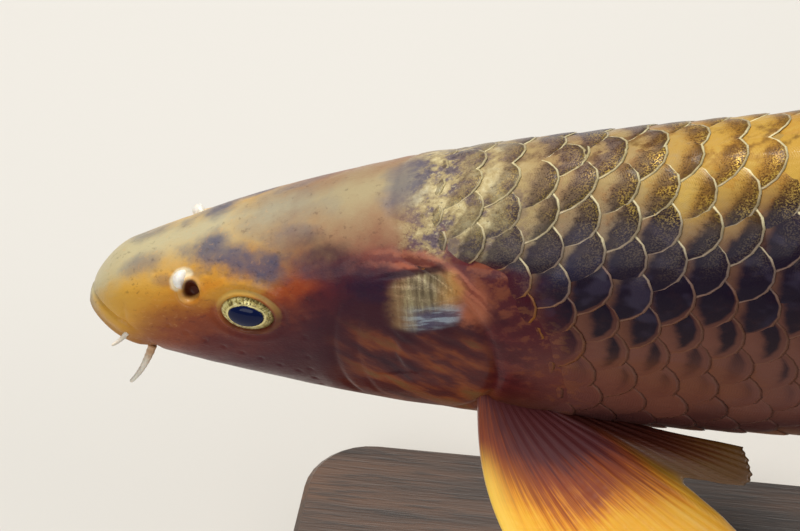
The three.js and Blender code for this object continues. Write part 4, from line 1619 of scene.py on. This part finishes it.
@dataclass
class FinSet:
    """All of the carp's fins, from the same sizes as their solids."""

    form: BodyForm
    pose: Pose

    def dorsal(self) -> Fin:
        """The long fin on the back: tallest just behind its first spine, then low to its end."""
        form = self.form

        def root(u: Array) -> Array:
            """Just under the ridge of the back."""
            along = lerp(222.0, 380.0, u)
            return direction(along, 0.0, form.back(along) - 3.0)

        def ray(u: Array) -> Array:
            """Swept further back towards the rear."""
            sweep = np.radians(lerp(30.0, 56.0, np.sqrt(u)))
            return direction(np.sin(sweep), 0.0, np.cos(sweep))

        def length(u: Array) -> Array:
            """A tall front that dies away exponentially."""
            return (26.0 + 38.0 * np.exp(-u / 0.18)) * lerp(0.72, 1.0, smooth(u, 0.0, 0.06))

        return Fin("dorsal_fin_rays", self.pose, 21, 34, root, ray, length, per_ray=9, wave=0.9)

    def anal(self) -> Fin:
        """The short fin behind the vent."""
        form = self.form

        def root(u: Array) -> Array:
            """Just inside the belly."""
            along = lerp(354.0, 394.0, u)
            return direction(along, 0.0, 3.0 - form.belly(along))

        def ray(u: Array) -> Array:
            """Swept down and back."""
            sweep = np.radians(lerp(34.0, 60.0, u))
            return direction(np.sin(sweep), 0.0, -np.cos(sweep))

        def length(u: Array) -> Array:
            """Longest in front, with a rounded leading corner."""
            return (26.0 + 30.0 * np.exp(-u / 0.4)) * lerp(0.8, 1.0, smooth(u, 0.0, 0.12))

        return Fin("anal_fin_rays", self.pose, 8, 34, root, ray, length, per_ray=12, seed=4)

    def pelvic(self, side: Side) -> Fin:
        """One of the pair under the belly."""
        form, sign = self.form, side.value

        def root(u: Array) -> Array:
            """A short line low on the side."""
            return form.point(lerp(222.0, 235.0, u), sign * lerp(2.55, 2.72, u), -3.0)

        def ray(u: Array) -> Array:
            """Back, outwards and down."""
            return direction(lerp(0.7, 0.94, u), sign * lerp(0.5, 0.1, u), lerp(-0.5, -0.36, u))

        def length(u: Array) -> Array:
            """Longest in front, shortening to the rear."""
            return 66.0 * (1.0 - 0.45 * u**1.4) * lerp(0.9, 1.0, smooth(u, 0.0, 0.12))

        name = f"pelvic_fin_{side.word}_rays"
        return Fin(name, self.pose, 9, 40, root, ray, length, half_root=1.8, per_ray=12, seed=5)

    def pectoral(self, side: Side) -> Fin:
        """One of the broad pair behind the gill covers, spread, with a cleft before its rear lobe."""
        form, sign = self.form, side.value

        def root(u: Array) -> Array:
            """A slanting line behind the gill opening."""
            return form.point(lerp(115.0, 131.0, u), sign * lerp(2.02, 2.38, u), -4.0)

        def ray(u: Array) -> Array:
            """From nearly sideways in front to nearly straight back."""
            sideways = sign * lerp(0.77, 0.12, u**0.9)
            return direction(lerp(0.39, 0.97, u), sideways, lerp(-0.43, -0.2, u**1.5))

        def length(u: Array) -> Array:
            """Long in front, shorter behind, with a rounded leading corner and the cleft."""
            taper = lerp(94.0, 58.0, u**1.6) * lerp(0.88, 1.0, smooth(u, 0.0, 0.14))
            return taper * (1.0 - 0.3 * bell(u - 0.72, 0.07))

        def lift(u: Array, w: Array) -> Array:
            """Arches the fin's middle upwards."""
            return 4.0 * np.sin(math.pi * u) * np.sin(math.pi * w)

        name = f"pectoral_fin_{side.word}_rays"
        return Fin(
            name, self.pose, 16, 60, root, ray, length, lift,
            half_root=2.4, half_edge=0.45, per_ray=12, fleshy=0.4, bow=9.5, wave=1.1, notch=0.012, seed=6,
        )

    def tail(self, upper: bool) -> Fin:
        """One lobe of the tail fin."""
        start, stop = (0.0, 0.5) if upper else (0.5, 1.0)

        def across(u: Array) -> Array:
            """1 at the fin's top edge, -1 at its bottom edge."""
            return 1.0 - 2.0 * lerp(start, stop, u)

        def root(u: Array) -> Array:
            """Down the end of the tail stalk."""
            return direction(449.0, 0.0, 24.0 * across(u))

        def ray(u: Array) -> Array:
            """Fanned either side of the axis."""
            slant = math.radians(37.0) * across(u)
            return direction(np.cos(slant), 0.0, np.sin(slant))

        def length(u: Array) -> Array:
            """Short at the fork, long towards the edge, rounded at the lobe's tip."""
            off = np.abs(across(u))
            return (56.0 + 60.0 * off**1.7) * lerp(1.0, 0.88, smooth(off, 0.78, 1.0))

        def lift(u: Array, w: Array) -> Array:
            """Curves the rays back towards the axis."""
            return -15.0 * across(u) * w * w

        name = f"tail_fin_{'upper' if upper else 'lower'}_rays"
        return Fin(
            name, self.pose, 9, 60, root, ray, length, lift,
            half_root=2.4, per_ray=12, wave=0.5, seed=7 + upper,
        )


# --------------------------------------------------------------------------- head pieces
@dataclass
class Eye:
    """One eyeball: a lens dome in the pupil, a groove round it, and the iris curving back."""

    skin: Skin
    pose: Pose
    side: Side
    radius: float = 8.8
    depth: float = 5.2
    pupil: tuple[float, float] = (5.5, 3.45)
    pupil_drop: float = -0.45
    lens_rise: float = 0.12
    wrap: float = 0.62
    rings: int = 56
    around: int = 72

    def build(self) -> Piece:
        """A turned half ellipsoid with the pupil's lens pushed out, closed at the back.

        The surface leaves the eye's centre along its axis by depth * sqrt(1 - (r / radius)^2).
        Inside the pupil it rises to a lens; at the pupil's edge it sinks by a groove.
        """
        sign = self.side.value
        s = np.linspace(0.0, 1.0, self.rings + 1)[1:]
        swing = s * math.pi * self.wrap
        reach = np.sin(swing) * self.radius
        out = np.cos(swing) * self.depth
        aa, tt = np.meshgrid(reach, circle(self.around), indexing="ij")
        oo = np.repeat(out[:, None], self.around, axis=1)
        forward, upward = np.cos(tt), np.sin(tt)
        rise = upward * aa * self.skin.eye_flat
        share = np.hypot(forward * aa / self.pupil[0], (rise + self.pupil_drop) / self.pupil[1])
        lens = self.lens_rise * np.sqrt(np.clip(1.0 - share**2, 0.0, 1.0))
        groove = -0.32 * bell(share - 1.0, 0.06)
        slope = -0.28 * smooth(share, 1.45, 1.02) * (share > 0.98)
        front = oo > 0
        height = oo + np.where(front, lens + groove + slope, 0.0)
        axis = self.skin.eye_axis() * np.array([1.0, sign, 1.0])
        ahead = unit(np.cross(axis, [0.0, 0.0, 1.0])) * sign
        above = unit(np.cross(ahead, axis)) * sign
        centre = np.array(self.skin.eye_centre) * np.array([1.0, sign, 1.0])
        local = (forward * aa)[..., None] * ahead + rise[..., None] * above
        points = centre + local + height[..., None] * axis
        tip = centre + axis * (self.depth + self.lens_rise)
        heel = centre + axis * float(out[-1])
        everything = np.concatenate([points.reshape(-1, 3), [tip, heel]])
        quads, caps = tube_faces(self.rings, self.around)
        facing = np.cross(local[3, 0] - local[2, 0], local[2, 1] - local[2, 0]) @ axis
        if facing > 0:
            quads, caps = quads[:, ::-1], caps[:, ::-1]
        iris = np.stack([share, forward, upward], -1).reshape(-1, 3)
        iris = np.concatenate([iris, [[0, 0, 0], [3, 0, 0]]])
        return Piece(f"eyeball_{self.side.word}", self.pose.place(everything), quads, caps, {"iris": iris})


@dataclass
class Barbel:
    """A feeler: a tapered, slightly wrinkled tube from the lip."""

    name: str
    pose: Pose
    side: Side
    root: tuple[float, float, float]
    tip: tuple[float, float, float]
    radius: float
    rings: int = 40
    around: int = 20

    def build(self) -> Piece:
        """Carries a shrinking circle along a parabola that sags between root and tip."""
        mirror = np.array([1.0, self.side.value, 1.0])
        start, end = np.array(self.root) * mirror, np.array(self.tip) * mirror
        t = np.linspace(0.0, 1.0, self.rings)
        sag = 0.12 * np.linalg.norm(end - start)
        path = lerp(start[None], end[None], t[:, None])
        path = path - (4 * t * (1 - t) * sag)[:, None] * np.array([0.0, 0.0, 1.0])
        forward = unit(np.gradient(path, axis=0))
        side = unit(np.cross([0.0, 0.0, 1.0], forward))
        other = np.cross(forward, side)
        turn = circle(self.around)
        round_tip = np.sqrt(1.0 - np.clip((t - 0.93) / 0.07, 0, 1) ** 2)
        wrinkle = 1.0 + 0.05 * np.sin(t * 60.0)
        radius = self.radius * (1.0 - 0.6 * t) * wrinkle * np.maximum(round_tip, 0.03)
        ring = np.cos(turn)[None, :, None] * side[:, None] + np.sin(turn)[None, :, None] * other[:, None]
        points = path[:, None] + radius[:, None, None] * ring
        everything = np.concatenate([points.reshape(-1, 3), path[[0, -1]]])
        place = np.concatenate([np.repeat(t, self.around), [0.0, 1.0]])
        ray = np.stack([np.zeros_like(place), place, np.zeros_like(place)], -1)
        quads, caps = tube_faces(self.rings, self.around)
        return Piece(self.name, self.pose.place(everything), quads, caps, {"ray": ray})


@dataclass
class NostrilFlap:
    """The pale flap of skin that stands between a nostril's two openings."""

    form: BodyForm
    pose: Pose
    side: Side
    columns: int = 24
    rows: int = 14

    def build(self) -> Piece:
        """A rounded leaf on a curved foot, thickest in its middle."""
        sign = self.side.value
        foot = self.form.point(np.array(32.0), np.array(sign * 0.76), -1.0)
        up = unit(np.array([0.25, sign * 0.55, 0.8]))
        across = unit(np.array([-0.25, sign * 0.8, -0.5]))
        u, w = np.meshgrid(np.linspace(0, 1, self.columns), np.linspace(0, 1, self.rows), indexing="ij")
        spread = 2.0 * u - 1.0
        tall = w * (0.5 + 3.5 * np.sqrt(1.0 - 0.985 * spread**2))
        middle = foot + (2.7 * spread)[..., None] * across + tall[..., None] * up
        middle[..., 0] += 1.6 * spread**2
        normal = grid_normals(middle)
        border = np.minimum(np.minimum(u, 1 - u) * 8.0, np.minimum(w, 1 - w) * 6.0)
        plump = 1.35 * (1.0 - spread**2) * np.sin(math.pi * np.clip(w * 0.85 + 0.1, 0.0, 1.0))
        half = (0.45 + plump) * np.clip(border, 0.0, 1.0) ** 0.5
        ray = np.stack([u, 0.3 + 0.7 * w, np.zeros_like(u)], -1)
        points, quads, ray = pillow(middle, half[..., None] * normal, ray)
        return Piece(f"nostril_skin_{self.side.word}", self.pose.place(points), quads, None, {"ray": ray})


# --------------------------------------------------------------------------- display stand
@dataclass
class DisplayStand:
    """The plinth keeps its solid; the rods are turned again, with saddles that follow the belly."""

    frame: dict
    around: int = 56
    clear: float = 0.0006

    def dress_plinth(self) -> None:
        """Puts stained wood on the plinth."""
        plinth = self.frame["nodes"]["stand_plinth"]
        plinth.data.materials.clear()
        plinth.data.materials.append(WoodFinish().material())
        LOG.info("stand_plinth: stained wood")

    def rod(self, end: str, under: Callable[[Array, Array], Array]) -> Piece:
        """One rod, from its flange to its saddle under the fish.

        Args:
            end: "front" or "rear".
            under: Gives the height of the body's underside over a place on the plinth.

        Returns:
            The rod as a turned surface whose top ring follows the body.
        """
        low, high = (Vector(c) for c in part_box(f"stand_rod_{end}"))
        centre = (low + high) / 2
        flange = (high.x - low.x) / 2
        foot, shaft, saddle = low.z, flange * 4 / 11, flange * 8 / 11
        top = high.z - 0.001
        profile = np.array([
            (0.0, foot), (flange - 0.0008, foot), (flange, foot + 0.0008), (flange, foot + 0.0028),
            (flange - 0.0012, foot + 0.004), (shaft + 0.0012, foot + 0.004), (shaft, foot + 0.0052),
            (shaft, lerp(foot, top, 0.3)), (shaft, lerp(foot, top, 0.6)), (shaft, top - 0.024),
            (shaft * 1.15, top - 0.018), (saddle * 0.9, top - 0.008), (saddle, top - 0.004), (saddle, top),
        ])
        turn = circle(self.around)
        radius, height = profile[1:, :1], profile[1:, 1:]
        x = centre.x + radius * np.cos(turn)[None]
        y = centre.y + radius * np.sin(turn)[None]
        z = np.broadcast_to(height, x.shape).copy()
        z[-1] = under(x[-1], y[-1]) - self.clear
        z[-2] = np.minimum(z[-2], z[-1] - self.clear)
        points = np.stack([x, y, z], -1)
        crown = float(under(np.array(centre.x), np.array(centre.y))) - self.clear
        poles = [[centre.x, centre.y, foot], [centre.x, centre.y, crown]]
        everything = np.concatenate([points.reshape(-1, 3), poles])
        return Piece(f"rod_{end}", everything, *tube_faces(len(points), self.around))


# --------------------------------------------------------------------------- studio
@dataclass
class Studio:
    """The camera, the soft lights and the pale floor."""

    azimuth: float = 11.0
    elevation: float = 43.0
    roll: float = -2.5
    distance: float = 1.3
    view_width: float = 0.226
    aim_from_head: tuple[float, float, float] = (0.0285, 0.0, 0.0035)

    def camera(self) -> None:
        """Aims a long lens behind the middle of the head, from the left and above, rolled a little."""
        low, high = (Vector(c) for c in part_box("head"))
        aim = (low + high) / 2 + Vector(self.aim_from_head)
        az, el = math.radians(self.azimuth), math.radians(self.elevation)
        back = Vector((math.sin(az) * math.cos(el), -math.cos(az) * math.cos(el), math.sin(el)))
        data = bpy.data.cameras.new("camera")
        data.sensor_width = 36.0
        data.lens = data.sensor_width * self.distance / self.view_width
        camera = bpy.data.objects.new("camera", data)
        camera.location = aim + back * self.distance
        look = (-back).to_track_quat("-Z", "Y").to_matrix()
        camera.rotation_euler = (look @ Euler((0, 0, math.radians(self.roll))).to_matrix()).to_euler()
        bpy.context.scene.collection.objects.link(camera)
        bpy.context.scene.camera = camera

    def light(
        self, name: str, place: tuple[float, float, float], size: float, power: float, tint: str
    ) -> None:
        """One square soft box that faces the fish."""
        data = bpy.data.lights.new(name, "AREA")
        data.size = size
        data.energy = power
        data.color = paint(tint)[:3]
        lamp = bpy.data.objects.new(name, data)
        lamp.location = place
        lamp.rotation_euler = (Vector((0, 0, 0.15)) - Vector(place)).to_track_quat("-Z", "Y").to_euler()
        bpy.context.scene.collection.objects.link(lamp)

    def build(self) -> None:
        """Camera, three soft boxes, an even pale sky and the floor."""
        self.camera()
        self.light("key", (-0.3, 0.6, 1.8), 0.8, 30.0, "fffaf2")
        self.light("front", (-0.9, -1.6, 1.1), 1.2, 11.0, "ffffff")
        self.light("tail", (1.5, -0.4, 1.3), 1.0, 9.0, "f6f9ff")
        bpy.context.scene.view_settings.view_transform = "Standard"
        world = bpy.data.worlds.new("sky")
        world.use_nodes = True
        sky = world.node_tree.nodes["Background"]
        sky.inputs["Color"].default_value = (0.86, 0.88, 0.9, 1.0)
        sky.inputs["Strength"].default_value = 0.28
        bpy.context.scene.world = world
        mesh = bpy.data.meshes.new("floor")
        mesh.from_pydata([(-6, -6, 0), (6, -6, 0), (6, 6, 0), (-6, 6, 0)], [], [(0, 1, 2, 3)])
        mesh.materials.append(FloorFinish().material())
        floor = bpy.data.objects.new("floor", mesh)
        bpy.context.scene.collection.objects.link(floor)


BODY_NODES = (
    "head", "lower_jaw", "gill_cover_left", "gill_cover_right", "trunk_front", "trunk_rear", "tail_stalk",
)
AXIS_NODES = ("head", "lower_jaw", "trunk_front", "trunk_rear", "tail_stalk")


def underside(form: BodyForm, pose: Pose) -> Callable[[Array, Array], Array]:
    """The height of the body's underside over places on the floor.

    Args:
        form: The body.
        pose: Its place in the frame.

    Returns:
        A function of x and y in metres that gives z in metres, from the nearest samples.
    """
    along, turn = np.meshgrid(np.linspace(120, 320, 401), np.linspace(2.5, 3.78, 121), indexing="ij")
    samples = pose.place(form.point(along, turn)).reshape(-1, 3)

    def height(x: Array, y: Array) -> Array:
        """The z of the sample nearest to each place."""
        along_x = samples[:, 0] - np.asarray(x)[..., None]
        along_y = samples[:, 1] - np.asarray(y)[..., None]
        return samples[np.argmin(along_x**2 + along_y**2, axis=-1), 2]

    return height


def main() -> None:
    """Builds the studio, the fish and its stand."""
    logging.basicConfig(level=logging.INFO, format="%(name)s: %(message)s")
    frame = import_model()
    Studio().build()

    form = BodyForm()
    girth = Girth(form)
    pose = Pose(form)
    pose.settle(AXIS_NODES)

    skin = Skin(form, girth, pose)
    skin.build().make(SkinFinish(), "head_skin", BODY_NODES)
    coat = ScaleCoat(form, girth, pose)
    for side in Side:
        coat.build(side).make(ScaleFinish(), "scales")

    fins = FinSet(form, pose)
    plain = FinFinish()
    dorsal_finish = FinFinish("Dorsal", root="5a3a24", middle="a8682c", outer="d8953a", red_reach=0.3)
    fins.dorsal().build().make(dorsal_finish, "fin", ["dorsal_fin"])
    fins.anal().build().make(plain, "fin", ["anal_fin"])
    fins.tail(True).build().make(plain, "fin", ["tail_fin_upper"])
    fins.tail(False).build().make(plain, "fin", ["tail_fin_lower"])
    for side in Side:
        # The pectoral's dark reddish root and bright golden outer part are partly its own colours, partly
        # painted shade and painted light; its rear lobe is painted in shade.
        fan = FinFinish(
            "Pectoral", root="642e30", rust="a04a24", middle="e88c1c", outer="ffb828",
            red_reach=0.29, red_lean=0.36, lead=0.7, rear=0.9,
        )
        fins.pectoral(side).build().make(fan, "fin", [f"pectoral_fin_{side.word}"])
        fins.pelvic(side).build().make(plain, "fin", [f"pelvic_fin_{side.word}"])
        Eye(skin, pose, side).build().make(EyeFinish(), "eye", [f"eye_{side.word}"])
        flap = NostrilFlap(form, pose, side).build()
        flap.make(PaleFinish("Flap", "f6f2e8", "e8d8bc"), "pale_skin", [f"nostril_flap_{side.word}"])
        short = Barbel(f"feeler_short_{side.word}", pose, side, (14.5, 12.0, -2.0), (8.5, 18.0, -5.0), 1.0)
        short.build().make(PaleFinish(), "pale_skin", [f"barbel_short_{side.word}"])
        long = Barbel(f"feeler_long_{side.word}", pose, side, (18.0, 11.0, -11.5), (10.5, 17.0, -20.5), 1.3)
        long.build().make(PaleFinish(), "pale_skin", [f"barbel_long_{side.word}"])

    stand = DisplayStand(frame)
    stand.dress_plinth()
    under = underside(form, pose)
    for end in ("front", "rear"):
        stand.rod(end, under).make(SteelFinish(), "rod_steel", [f"stand_rod_{end}"])


if __name__ == "__main__":
    main()
